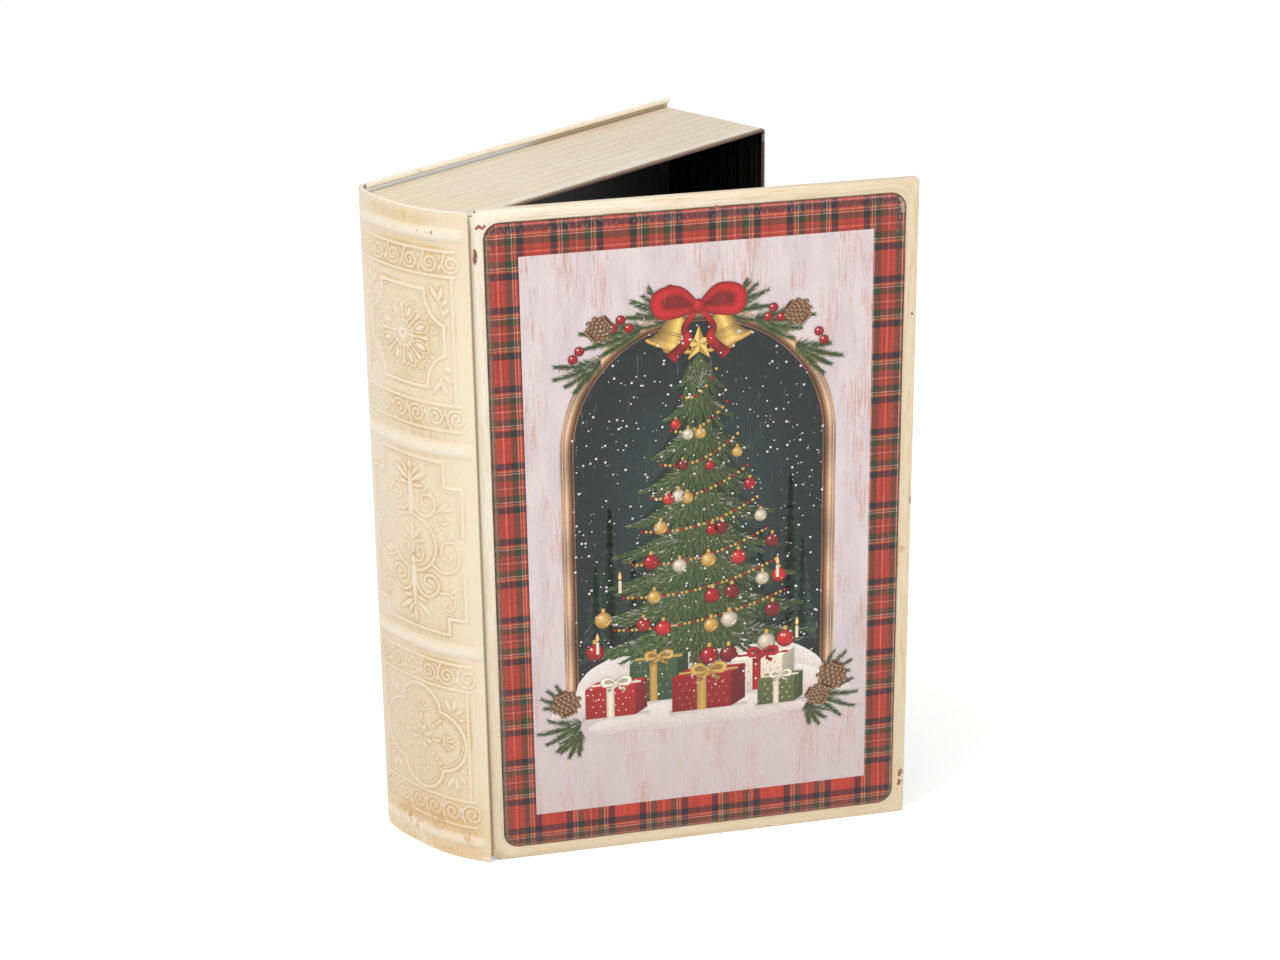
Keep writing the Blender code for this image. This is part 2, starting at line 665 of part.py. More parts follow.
def build_lid(material, group, parent):
    windows = strap_windows()
    left, right, bottom, top = PANEL_INSET
    shoulder = ((0.0024, -PANEL_RISE), (0.0012, -PANEL_RISE * 0.85), (0.00045, -PANEL_RISE * 0.35),
                (0.0001, PANEL_GROOVE * 0.4), (-0.00015, PANEL_GROOVE), (-0.00055, 0))
    bm = bmesh.new()
    chain = []
    for inset, depth in shoulder:
        points = lid_loop(left + inset, right + inset, bottom + inset, top + inset,
                          PANEL_CORNER - inset, depth, windows)
        if chain:
            chain = carry_on(bm, chain, points, True)
        else:
            chain = [bm.verts.new(point) for point in points]
            bm.faces.new(chain)
    border = BARREL_END - EDGE_ROUND
    front = carry_on(bm, chain, lid_loop(0, EDGE_ROUND, EDGE_ROUND, EDGE_ROUND, border, 0, windows), True)

    chain = front[4:16]
    edge = [(EDGE_ROUND * 0.3, EDGE_ROUND * 0.3), (0, EDGE_ROUND), (0, LID_DEPTH - EDGE_ROUND),
            (EDGE_ROUND * 0.3, LID_DEPTH - EDGE_ROUND * 0.3), (EDGE_ROUND, LID_DEPTH), (LID_FLANGE, LID_DEPTH)]
    for inset, depth in edge:
        corner = max(LID_CORNER - inset, SHEET)
        points = lid_loop(0, inset, inset, inset, corner, depth, windows)[4:16]
        points[0].x = border
        points[-1].x = border
        chain = carry_on(bm, chain, points)

    side = [front[19]] + front[20:] + [front[0]]
    lip_steps = 2
    lip = side
    for step in range(1, lip_steps + 1):
        turn = math.radians(270) - (math.radians(270) - LIP_STOP) * step / lip_steps
        lip = carry_on(bm, lip, [Vector((BARREL_RADIUS * math.cos(turn), BARREL_RADIUS * math.sin(turn),
                                         vertex.co.z)) for vertex in lip])
    curl_steps = 12
    for k in range(0, len(lip), 2):
        knuckle = lip[k:k + 2]
        for step in range(1, curl_steps + 1):
            turn = LIP_STOP - (LIP_STOP - CURL_STOP) * step / curl_steps
            knuckle = carry_on(bm, knuckle, [Vector((BARREL_RADIUS * math.cos(turn), BARREL_RADIUS * math.sin(turn),
                                                     vertex.co.z)) for vertex in knuckle])
    return sheet_object("lid", bm, (0, -1, 0), SHEET, -1, material, group, parent)


def strap_outline():
    """Plan of a strap about the hinge axis: its loop, then its tail along the spine's inside."""
    loop_radius = WIRE_RADIUS + WIRE_GAP + STRAP_SHEET / 2
    loop_steps = 14
    points = []
    for step in range(loop_steps + 1):
        turn = math.radians(120 + 300 * step / loop_steps)
        points.append(Vector((loop_radius * math.cos(turn), loop_radius * math.sin(turn), 0)))
    start = points[-1]
    heading = Vector((math.cos(math.radians(150)), math.sin(math.radians(150)), 0))
    centre = Vector((SPINE_CENTRE_X, -HINGE_Y, 0))
    radius = SPINE_RADIUS - SHEET - SEAT_GAP - STRAP_SHEET / 2
    across = (start - centre).dot(heading)
    reach = -across + math.sqrt(across ** 2 - (start - centre).length_squared + radius ** 2)
    touch = start + heading * reach
    angle = math.atan2(touch.y - centre.y, centre.x - touch.x)
    grip_steps = 3
    for step in range(grip_steps + 1):
        turn = angle + STRAP_GRIP / radius * step / grip_steps
        points.append(Vector((centre.x - radius * math.cos(turn), centre.y + radius * math.sin(turn), 0)))
    return points


def build_straps(material, group, parent):
    outline = strap_outline()
    for k in range(STRAP_COUNT):
        low = END_STRAP + STRAP_PITCH * k - STRAP_WIDTH / 2
        bm = bmesh.new()
        chain = first_chain(bm, [point + Vector((0, 0, low)) for point in outline])
        carry_on(bm, chain, [vertex.co + Vector((0, 0, STRAP_WIDTH)) for vertex in chain])
        sheet_object(f"hinge_strap_{k + 1}", bm, (-1, 0, 0), STRAP_SHEET, 0, material, group, parent)


def build_wire(material, group, parent):
    length = CASE_HEIGHT - 2 * (BARREL_END + SEAT_GAP)
    bpy.ops.mesh.primitive_cylinder_add(vertices=16, radius=WIRE_RADIUS, depth=length)
    wire = bpy.context.object
    wire.name = "hinge_wire"
    wire.location.z = CASE_HEIGHT / 2
    wire.parent = parent
    wire.data.materials.append(material)
    for home in list(wire.users_collection):
        home.objects.unlink(wire)
    group.objects.link(wire)


def empty(name, place, group, parent=None):
    marker = bpy.data.objects.new(name, None)
    marker.location = place
    marker.parent = parent
    group.objects.link(marker)
    return marker


def main():
    clear_scene()
    parts = new_collection("book_shaped_tin_box")
    cutters = new_collection("cutters")
    cream = paint("cream_paint", (0.84, 0.77, 0.60), 0.42, 0.0)
    page_beige = paint("page_beige_paint", (0.76, 0.67, 0.54), 0.5, 0.0)
    lid_paint = paint("lid_print_and_paint", (0.80, 0.72, 0.60), 0.4, 0.0)
    tinplate = paint("bare_tinplate", (0.62, 0.62, 0.62), 0.35, 1.0)
    steel = paint("steel_wire", (0.5, 0.5, 0.5), 0.3, 1.0)

    case = empty("case_corner", (-FOOT_CENTRE_X, -FOOT_CENTRE_Y, 0), parts)
    hinge_axis = empty("hinge_axis", (0, HINGE_Y, 0), parts, case)
    lid_axis = empty("lid_axis", (0, 0, 0), parts, hinge_axis)
    lid_axis.rotation_euler.z = -LID_OPEN

    tools = build_ornament(cutters, case)
    build_spine_and_back(cream, parts, case, tools)
    build_page_edges(page_beige, parts, case)
    build_straps(tinplate, parts, hinge_axis)
    build_lid(lid_paint, parts, lid_axis)
    build_wire(steel, parts, lid_axis)


main()
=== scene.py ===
# %% [markdown]
# # A book-shaped tin box
#
# The box is made of thin printed sheet steel: a spine that goes on as the back cover, a band of
# page edges, and a front cover that is the lid. Its working model comes in as a frame, with every
# sheet at its real size. This lesson gives the sheets their looks: embossing, paint and print.

# %% Load the frame
import json
import math
import random

import bpy
import numpy as np
from mathutils import Matrix, Vector


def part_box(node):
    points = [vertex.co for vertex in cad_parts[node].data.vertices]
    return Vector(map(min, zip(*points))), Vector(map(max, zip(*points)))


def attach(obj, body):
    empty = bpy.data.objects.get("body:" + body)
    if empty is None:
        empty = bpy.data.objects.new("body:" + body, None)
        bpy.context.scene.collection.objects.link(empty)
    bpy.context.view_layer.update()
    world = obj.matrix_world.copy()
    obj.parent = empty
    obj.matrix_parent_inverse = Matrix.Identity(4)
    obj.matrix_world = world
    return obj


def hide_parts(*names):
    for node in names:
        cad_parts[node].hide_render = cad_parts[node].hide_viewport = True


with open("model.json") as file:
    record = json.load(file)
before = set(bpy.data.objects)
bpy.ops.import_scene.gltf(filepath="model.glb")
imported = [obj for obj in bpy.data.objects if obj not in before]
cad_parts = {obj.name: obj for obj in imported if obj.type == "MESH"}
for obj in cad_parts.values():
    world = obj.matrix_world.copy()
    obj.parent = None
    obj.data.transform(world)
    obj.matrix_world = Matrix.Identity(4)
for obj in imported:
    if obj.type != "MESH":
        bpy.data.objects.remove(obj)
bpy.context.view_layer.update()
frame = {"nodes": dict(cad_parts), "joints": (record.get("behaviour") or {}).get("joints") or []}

# %% [markdown]
# Three places steer everything else: the axis of the hinge, the angle at which the lid stands open,
# and the centre line of the rounded spine. The joint gives the first, and the second is how far
# the lid can turn back before it is shut. The spine's centre follows from the case's own box.

# %% Main places
MM = 0.001
hinge = frame["joints"][0]
HINGE = Vector(hinge["pos_m"])
LID_OPEN = math.radians(-hinge["range_deg"][0])
CASE_LOW, CASE_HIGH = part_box("spine_and_back")
HEIGHT = CASE_HIGH.z
SPINE_RADIUS = 58 * MM
BAND_RISE = 0.9 * MM
THICKNESS = 58.9 * MM
SPINE_CENTRE = Vector((CASE_LOW.x + BAND_RISE + SPINE_RADIUS, CASE_HIGH.y - THICKNESS / 2, 0))
HEM_RADIUS = 0.475 * MM
FRONT_ANGLE = -math.asin((THICKNESS / 2 - HEM_RADIUS) / SPINE_RADIUS)
BACK_CORNER = 2.5 * MM
CORNER_ANGLE = math.asin((THICKNESS / 2 - BACK_CORNER) / (SPINE_RADIUS - BACK_CORNER))
print("lid open", math.degrees(LID_OPEN), "spine centre", tuple(SPINE_CENTRE))

# %% [markdown]
# The camera stands to the left of the lid and looks down on the box. A long lens keeps the upright
# edges almost parallel, as in a catalogue picture. The three turns are made one after the
# other: round the box, down towards it, and a small roll about the line of sight.

# %% Camera
CAMERA_PLACE = (-0.73428, -0.68593, 0.55848)
CAMERA_ROUND = math.radians(-46.51)
CAMERA_DOWN = math.radians(22.33)
CAMERA_ROLL = math.radians(-0.77)
turn = (Matrix.Rotation(CAMERA_ROUND, 4, "Z") @ Matrix.Rotation(math.pi / 2 - CAMERA_DOWN, 4, "X")
        @ Matrix.Rotation(CAMERA_ROLL, 4, "Z"))
bpy.ops.object.select_all(action="DESELECT")
bpy.ops.object.camera_add(location=CAMERA_PLACE, rotation=turn.to_euler())
camera = bpy.context.active_object
camera.name = "camera"
camera.data.sensor_width = 36
camera.data.lens = 77.36
bpy.context.scene.camera = camera
print("camera at", tuple(camera.location))

# %% [markdown]
# Materials are small networks of nodes. A few helpers keep the networks short to write: each adds
# one node, links what it is given and returns a wire. Wires add and multiply like numbers, so a
# finish reads like a formula, with its coats of paint listed in the order in which they are laid.

# %% Node helpers
def srgb(red, green, blue):
    """A colour as a screen shows it, made linear for the shader."""
    return tuple(((c / 255 + 0.055) / 1.055) ** 2.4 if c > 10 else c / 255 / 12.92
                 for c in (red, green, blue)) + (1,)


class Wire:
    """What comes out of a node. It is reckoned with like a number, and each sum adds a node."""

    def __init__(self, finish, socket):
        self.finish, self.socket = finish, socket

    def clamped(self):
        self.socket.node.use_clamp = True
        return self

    def __abs__(self):
        return self.finish.math("ABSOLUTE", self)

    def step(self, low, high):
        """0 below low, 1 above high, smooth between."""
        return self.finish.add("MapRange", {"Value": self, "From Min": low, "From Max": high},
                               "Result", interpolation_type="SMOOTHSTEP")

    def fall(self, low, high):
        """1 below low, 0 above high, smooth between."""
        return 1 - self.step(low, high)

    def band(self, low, high, soft):
        """1 between low and high, with soft ends."""
        return self.step(low - soft, low + soft) * self.fall(high - soft, high + soft)

    def noise(self, scale, detail=3, roughness=0.55):
        """Noise of one scale, or with a scale for each axis."""
        place = self
        if isinstance(scale, tuple):
            place, scale = self.finish.vector("MULTIPLY", self, scale), 1.0
        return self.finish.add("TexNoise", {"Vector": place, "Scale": scale, "Detail": detail,
                                            "Roughness": roughness}, "Fac")


for sign, operation in (("add", "ADD"), ("sub", "SUBTRACT"), ("mul", "MULTIPLY"),
                        ("truediv", "DIVIDE"), ("gt", "GREATER_THAN"), ("lt", "LESS_THAN")):
    setattr(Wire, f"__{sign}__", lambda a, b, way=operation: a.finish.math(way, a, b))
    if sign not in ("gt", "lt"):
        setattr(Wire, f"__r{sign}__", lambda a, b, way=operation: a.finish.math(way, b, a))


class Finish:
    """A material with helpers that add and link nodes."""

    def __init__(self, name, metallic=0.0):
        self.material = bpy.data.materials.new(name)
        self.material.use_nodes = True
        self.nodes = self.material.node_tree.nodes
        self.links = self.material.node_tree.links
        self.shader = self.nodes["Principled BSDF"]
        self.shader.inputs["Metallic"].default_value = metallic

    def feed(self, socket, value):
        if isinstance(value, Wire):
            self.links.new(value.socket, socket)
        else:
            socket.default_value = value

    def add(self, kind, inputs, output, **settings):
        """One node with its settings, what goes into it and the wire that comes out."""
        node = self.nodes.new("ShaderNode" + kind)
        for name, value in settings.items():
            setattr(node, name, value)
        for key, value in inputs.items() if isinstance(inputs, dict) else enumerate(inputs):
            self.feed(node.inputs[key], value)
        return Wire(self, node.outputs[output])

    def math(self, operation, *values):
        return self.add("Math", values, 0, operation=operation)

    def vector(self, operation, *values):
        output = "Value" if operation in ("DISTANCE", "LENGTH") else "Vector"
        return self.add("VectorMath", values, output, operation=operation)

    def mix(self, share, first, second, way="MIX"):
        """Two colours, each a wire or three numbers as a screen shows it."""
        first, second = (srgb(*colour) if isinstance(colour, tuple) else colour
                         for colour in (first, second))
        return self.add("Mix", {"Factor": share, "A": first, "B": second}, "Result",
                        data_type="RGBA", blend_type=way)

    def coats(self, colour, coats):
        """Coats laid one over another, each given as the share that it covers and its colour."""
        for share, coat in coats:
            colour = self.mix(share, colour, coat)
        return colour

    def shaded(self, colour, shade):
        return self.mix(1.0, colour, self.point(shade, shade, shade), "MULTIPLY")

    def ramp(self, value, stops, sharp=False):
        """A colour ramp from (place, colour) pairs."""
        wire = self.add("ValToRGB", [value], "Color")
        ramp = wire.socket.node.color_ramp
        ramp.interpolation = "CONSTANT" if sharp else "LINEAR"
        while len(ramp.elements) < len(stops):
            ramp.elements.new(0.5)
        for element, (place, colour) in zip(ramp.elements, sorted(stops)):
            element.position = place
            element.color = colour
        return wire

    def attribute(self, name, output="Fac"):
        return self.add("Attribute", (), output, attribute_name=name)

    def place(self, turn=0.0, origin=(0, 0, 0)):
        """The point of the surface in millimetres from an origin, turned about the upright axis."""
        point = self.add("TexCoord", (), "Object")
        shift = Matrix.Rotation(turn, 3, "Z") @ Vector(origin) / -MM
        return self.add("Mapping", {"Vector": point, "Location": shift, "Rotation": (0, 0, turn),
                                    "Scale": [1 / MM] * 3}, "Vector")

    def parts(self, vector):
        x = self.add("SeparateXYZ", [vector], 0)
        return [Wire(self, output) for output in x.socket.node.outputs]

    def point(self, x, y, z):
        return self.add("CombineXYZ", (x, y, z), 0)

    def spots(self, vector, places):
        """1 inside each small spot. A spot is x, y, z or x, z of a grid, and then its radius."""
        total = None
        for *place, radius in places:
            if len(place) == 2:
                place.insert(1, 0)
            spot = self.vector("DISTANCE", vector, place).fall(radius * 0.7, radius)
            total = spot if total is None else self.math("MAXIMUM", total, spot)
        return total

    def finish(self, colour, roughness, height, depth):
        """Colour, roughness and a bump of some height, which is deep in metres."""
        self.feed(self.shader.inputs["Base Color"], colour)
        self.feed(self.shader.inputs["Roughness"], roughness)
        bump = self.add("Bump", {"Distance": depth, "Height": height}, "Normal")
        self.feed(self.shader.inputs["Normal"], bump)
        return self.material


print("cream", srgb(245, 235, 212))

# %% [markdown]
# The box stands on a plain white table before a white wall, as in a product picture. The table is
# a real surface and keeps the soft shadow. It glows a little where the camera sees it, and the wall
# is white to the camera but dimmer to the box, so both are paper white and the box isn't too light.

# %% Floor and world
def stage_white(name):
    surface = Finish(name)
    inputs = surface.shader.inputs
    inputs["Roughness"].default_value = 0.9
    inputs["Base Color"].default_value = (0.86, 0.86, 0.86, 1)
    inputs["Emission Color"].default_value = (1, 1, 1, 1)
    path = surface.nodes.new("ShaderNodeLightPath").outputs
    camera, glossy, transmission = (Wire(surface, path[f"Is {ray} Ray"])
                                    for ray in ("Camera", "Glossy", "Transmission"))
    seen = surface.math("MAXIMUM", camera, surface.math("MAXIMUM", glossy, transmission))
    surface.feed(inputs["Emission Strength"], seen * 0.42)
    return surface.material


bpy.ops.object.select_all(action="DESELECT")
bpy.ops.mesh.primitive_plane_add(size=6, location=(0, 0, 0))
floor = bpy.context.active_object
floor.name = "floor"
floor.data.materials.append(stage_white("white_table"))

LIGHT_ON_THE_BOX = 0.62
world = bpy.data.worlds.new("studio")
world.use_nodes = True
bpy.context.scene.world = world
tree = world.node_tree
background = tree.nodes["Background"].inputs
background["Color"].default_value = (1, 1, 1, 1)
brightness = tree.nodes.new("ShaderNodeMapRange")
brightness.inputs["To Min"].default_value = LIGHT_ON_THE_BOX
to_camera = tree.nodes.new("ShaderNodeLightPath").outputs["Is Camera Ray"]
tree.links.new(to_camera, brightness.inputs["Value"])
tree.links.new(brightness.outputs["Result"], background["Strength"])
bpy.context.scene.view_settings.view_transform = "Standard"
print("world gives", LIGHT_ON_THE_BOX, "of white to the box and all of it to the camera")

# %% [markdown]
# Two broad lamps light the box: a large one high on the left, which models the embossing with a
# low glancing light, and a weak one on the right that opens the shadow side.

# %% Lamps
def lamp(name, place, aim, size, power):
    way = (Vector(aim) - Vector(place)).to_track_quat("-Z", "Y")
    bpy.ops.object.light_add(type="AREA", location=place, rotation=way.to_euler())
    light = bpy.context.active_object
    light.name = name
    light.data.size = size
    light.data.energy = power


lamp("key_lamp", (-0.9, 0.1, 1.1), (0, 0, 0.12), 0.7, 6.5)
lamp("front_lamp", (-0.1, -1.3, 0.9), (0, 0, 0.12), 0.9, 6.0)

# %% [markdown]
# The sheets come in as the frame's solids. A copy of a solid is loose triangles, so its doubled
# corners are merged first, and then only its folds stay sharp under smooth shading.

# %% Copies of the sheets
def choose(piece):
    """Make this piece the only one selected."""
    bpy.ops.object.select_all(action="DESELECT")
    piece.select_set(True)
    bpy.context.view_layer.objects.active = piece


def sheet_copy(node, name, angle=35):
    piece = bpy.data.objects.new(name, frame["nodes"][node].data.copy())
    bpy.context.scene.collection.objects.link(piece)
    choose(piece)
    bpy.ops.object.mode_set(mode="EDIT")
    bpy.ops.mesh.select_all(action="SELECT")
    bpy.ops.mesh.remove_doubles(threshold=0.000001)
    bpy.ops.object.mode_set(mode="OBJECT")
    bpy.ops.object.shade_smooth_by_angle(angle=math.radians(angle))
    piece.data.materials.clear()
    return piece


def pick_faces(piece, wanted):
    """Select the faces whose centre and normal pass a test."""
    choose(piece)
    bpy.ops.object.mode_set(mode="EDIT")
    bpy.ops.mesh.select_mode(type="FACE")
    bpy.ops.mesh.select_all(action="DESELECT")
    bpy.ops.object.mode_set(mode="OBJECT")
    for face in piece.data.polygons:
        face.select = wanted(face)
    return sum(face.select for face in piece.data.polygons)


cover = sheet_copy("spine_and_back", "back_cover_sheet")
pages = sheet_copy("page_edges", "page_edge_band")
lid = sheet_copy("lid", "lid_sheet", 50)
print("faces", len(cover.data.polygons), len(pages.data.polygons), len(lid.data.polygons))

# %% [markdown]
# The spine is the sheet's showpiece. It was pressed in a die, which pushes fine ridges and leaves
# out of the steel. The frame only holds them roughly, so the rough outer face of the spine comes
# off the copy, and a fine embossed skin takes its place in the next steps.

# %% Open the spine
def spine_angle(point):
    return math.atan2(point.y - SPINE_CENTRE.y, SPINE_CENTRE.x - point.x)


def on_spine_outside(face):
    points = [cover.data.vertices[i].co for i in face.vertices]
    return all(math.hypot(p.x - SPINE_CENTRE.x, p.y - SPINE_CENTRE.y) > SPINE_RADIUS - 0.2 * MM
               and FRONT_ANGLE - 0.001 < spine_angle(p) < CORNER_ANGLE + 0.001
               and HEM_RADIUS - 0.01 * MM < p.z < HEIGHT - HEM_RADIUS + 0.01 * MM for p in points)


picked = pick_faces(cover, on_spine_outside)
bpy.ops.object.mode_set(mode="EDIT")
bpy.ops.mesh.delete(type="FACE")
bpy.ops.object.mode_set(mode="OBJECT")
print("rough faces taken off", picked)

# %% [markdown]
# The die's drawing is made of strokes: lines of points with a width, in millimetres across from
# the spine's centre line and down from its head. A few kinds of stroke are enough: straight lines,
# smooth curls, leaves and rings. Most motifs are mirrored or turned copies of one another.

# %% Strokes
def line(points, weight=1.0, closed=False):
    return list(points), [weight] * len(points), closed


def through(a, b, c, d, share):
    """The point at a share of the way from b to c, on a smooth curve that also minds a and d."""
    return 0.5 * (2 * b + (c - a) * share + (2 * a - 5 * b + 4 * c - d) * share ** 2
                  + (3 * b - a - 3 * c + d) * share ** 3)


def curl(points, weight):
    """A smooth stroke through the points."""
    ends = [np.array(point, float) for point in (points[0], *points, points[-1])]
    result = [tuple(through(*ends[k:k + 4], share))
              for k in range(len(ends) - 3) for share in (0, 0.25, 0.5, 0.75)]
    return line(result + [tuple(points[-1])], weight)


def leaf(base, tip, weight=1.6):
    shares = ((0, 0.3), (0.2, 0.75), (0.42, 1), (0.65, 0.85), (0.85, 0.45), (1, 0.12))
    points = [tuple(b + (t - b) * s for b, t in zip(base, tip)) for s, w in shares]
    return points, [weight * w for s, w in shares], False


def petal(base, tip, half, weight=0.62):
    """The outline of a leaf that lies along the first axis."""
    shares = ((0, 0.12), (0.2, 0.62), (0.45, 0.95), (0.7, 1), (0.9, 0.6), (1, 0.12))
    right = [(base + (tip - base) * s, half * w) for s, w in shares]
    return line(right + [(u, -t) for u, t in reversed(right)], weight, True)


def ring(radius, centre, weight, steps=28):
    angles = [2 * math.pi * k / steps for k in range(steps)]
    return line([(radius * math.cos(a), centre + radius * math.sin(a)) for a in angles], weight,
                True)


def turned(stroke, centre, angle):
    points, weights, closed = stroke
    cos, sin = math.cos(angle), math.sin(angle)
    return [(u * cos - t * sin, centre + u * sin + t * cos) for u, t in points], weights, closed


def turned_copies(stroke, centre, count, first=0.0):
    """So many copies of a stroke, spaced evenly round a centre."""
    return [turned(stroke, centre, first + 2 * math.pi * k / count) for k in range(count)]


def flipped(stroke, across, down, centre=0.0):
    points, weights, closed = stroke
    return [(u * across, centre + (t - centre) * down) for u, t in points], weights, closed


def both_sides(strokes):
    return [flipped(stroke, side, 1) for stroke in strokes for side in (1, -1)]


def all_corners(strokes, centre):
    return [flipped(stroke, side, end, centre)
            for stroke in strokes for side in (1, -1) for end in (1, -1)]


def double_frame(points, inset_points):
    """A broad bead with a fine one just inside it."""
    return [line(points, 1.25, True), line(inset_points, 0.55, True)]


def scroll_row(upper, lower, way):
    """Six running spirals between two lines, with a drop between each pair."""
    strokes = [line([(-24.6, edge), (24.6, edge)]) for edge in (upper, lower)]
    centre = (upper + lower) / 2
    reach = (lower - upper) / 2 - 1.2
    for k in range(6):
        middle = 23.2 - 9.0 * k
        points = [(middle - reach + 1.4, centre - way * (reach + 0.7))]
        for step in range(29):
            angle = math.pi + step / 28 * 3.4 * math.pi
            radius = reach * (1 - 0.82 * step / 28)
            points.append((middle + radius * math.cos(angle),
                           centre - way * radius * math.sin(angle)))
        strokes.append(line(points, 0.8))
        if k < 5:
            strokes.append(leaf((middle - 4.4, centre + way * 0.3),
                                (middle - 5.1, centre + way * 3.3), 1.1))
            strokes.append(line([(middle - 4.2, centre - way * 2.6),
                                 (middle - 4.9, centre - way * 1.6)], 0.7))
    return strokes


print("strokes in a scroll row", len(scroll_row(15.5, 25.2, 1)))

# %% [markdown]
# Between four raised bands lie three panels. The first has a frame with hollow corners round a
# rosette, the second a stepped frame round an arabesque, the third a four-lobed frame round a
# snow crystal. Each panel is one function, so that it can be changed on its own.

# %% Panels of the spine
def hollow_frame(centre, inset):
    corner = []
    for step in range(11):
        angle = math.radians(79) * step / 10
        corner.append((min(21.5 - (10.3 + inset) * math.cos(angle), 19.4 - inset),
                       centre - 19.3 + max((13.6 + inset) * math.sin(angle), inset)))
    right = corner + [(u, 2 * centre - t) for u, t in reversed(corner)]
    return right + [(-u, t) for u, t in reversed(right)]


def head_panel():
    centre = 50.4
    strokes = double_frame(hollow_frame(centre, 0), hollow_frame(centre, 1.5))
    strokes += [ring(1.6, centre, 1.5), ring(3.0, centre, 0.55), ring(5.0, centre, 0.8)]
    strokes += turned_copies(leaf((3.4, 0), (4.7, 0), 0.8), centre, 16)
    for petal_or_ray, first in (
            (([(5.4, 0), (8.5, 0), (11.6, 0)], [0.5, 0.7, 1.3], False), 0),
            (petal(5.9, 13.4, 2.0), math.pi / 8), (leaf((7.4, 0), (12.2, 0), 1.9), math.pi / 8),
            (curl([(11.6, 0.4), (12.4, 1.7), (11.0, 2.4)], 0.6), 0),
            (curl([(11.6, -0.4), (12.4, -1.7), (11.0, -2.4)], 0.6), 0)):
        strokes += turned_copies(petal_or_ray, centre, 8, first)
    for end, first in ((15.4, 0), (15.9, math.pi / 20)):
        strokes += turned_copies(line([(14.6, 0), (end, 0)], 0.6), centre, 20, first)
    strokes += all_corners([
        leaf((18.3, 35.6), (13.4, 28.4)), leaf((18.0, 34.4), (19.6, 28.6)),
        leaf((18.6, 36.8), (22.0, 33.4), 1.3), leaf((18.9, 40.2), (22.2, 37.6), 1.3),
        curl([(13.6, 29.0), (17.4, 33.6), (19.4, 41.4)], 0.55)], centre)
    return strokes + both_sides([line([(23.3, 25.2), (23.3, 76.0)])])


def stepped_frame(inset, weight):
    narrow, wide = 16.5 - inset, 24.0 - inset
    half = [(narrow, 99.3 + inset), (narrow, 109.6 + inset), (wide, 109.6 + inset), (wide, 129.2)]
    other = [(wide, 145.8), (wide, 164.5 - inset), (narrow, 164.5 - inset),
             (narrow, 171.3 - inset)]
    return [line([(-u, t) for u, t in reversed(half)] + half, weight),
            line(other + [(-u, t) for u, t in reversed(other)], weight)]


def middle_panel():
    leaves = (
        (1.2, 109.5, 9.2, 104.6, 1.9), (1.4, 111.6, 7.0, 110.8, 1.3), (1.0, 107.4, 5.2, 102.6, 1.3),
        (9.9, 115.0, 10.3, 111.4, 1.3), (13.4, 119.6, 18.8, 115.4, 1.5),
        (14.8, 119.0, 20.4, 118.6, 1.1), (0.9, 133.6, 4.8, 128.4, 1.5),
        (1.6, 135.2, 6.8, 133.4, 1.0), (17.6, 131.4, 19.6, 127.2, 1.3),
        (11.2, 129.0, 14.8, 126.6, 1.0), (17.6, 154.0, 20.6, 151.2, 1.2),
        (1.6, 158.6, 7.0, 159.8, 1.3), (1.4, 160.6, 9.0, 166.0, 1.9),
        (1.0, 161.8, 4.6, 167.6, 1.3))
    curls = (
        (1.0, ((1.0, 119.4), (3.6, 122.4), (8.0, 123.2), (12.0, 119.2), (10.6, 114.6),
               (6.6, 114.4), (5.6, 117.6), (8.0, 119.2))),
        (0.8, ((12.4, 120.6), (14.6, 119.6), (16.9, 121.0), (17.4, 124.2), (14.6, 124.8),
               (14.4, 122.9))),
        (1.0, ((1.4, 124.0), (6.5, 125.6), (10.2, 129.4), (11.8, 135.0), (10.2, 141.2),
               (6.0, 145.6), (1.4, 147.4))),
        (0.8, ((0.8, 143.2), (3.9, 142.4), (5.6, 138.6), (3.0, 136.6), (2.4, 139.0))),
        (0.9, ((10.0, 143.0), (14.4, 145.4), (20.4, 143.4), (22.2, 137.6), (20.0, 132.2),
               (15.2, 133.2), (14.4, 138.4), (17.6, 140.2), (18.4, 137.6))),
        (1.0, ((1.2, 152.4), (3.4, 156.2), (8.0, 157.2), (12.4, 152.6), (10.6, 148.2),
               (6.4, 148.4), (5.4, 151.4), (8.0, 152.8))),
        (0.8, ((12.4, 154.4), (16.8, 154.2), (19.6, 157.6), (17.0, 161.4), (14.4, 159.6),
               (16.2, 157.9))))
    side = [leaf((u, t), (tip, end), weight) for u, t, tip, end, weight in leaves]
    side += [curl(points, weight) for weight, points in curls]
    stem = [leaf((0, start), (0, end), weight) for start, end, weight in (
        (105.0, 100.9, 1.5), (163.4, 169.8, 1.6), (134.8, 126.0, 1.8))]
    stem += [([(0, t) for t in places], weights, False) for places, weights in (
        ((106.0, 112.0, 122.6), (1.0, 2.2, 2.6)), ((146.6, 153.0, 162.4), (2.4, 2.4, 1.0)),
        ((136.6, 144.4), (1.0, 1.6)))]
    return stepped_frame(0, 1.15) + stepped_frame(1.5, 0.5) + both_sides(side) + stem


def lobed_frame(centre, inset):
    points = []
    for across, down, radius, spread, middle in (
            (8.55, 0, 13.25, 81.6, 0), (0, 12.3, 10.5, 85.6, 90),
            (-8.55, 0, 13.25, 81.6, 180), (0, -12.3, 10.5, 85.6, 270)):
        for step in range(15):
            angle = math.radians(middle - spread + 2 * spread * step / 14)
            points.append((across + (radius - inset) * math.cos(angle),
                           centre + down + (radius - inset) * math.sin(angle)))
    return points


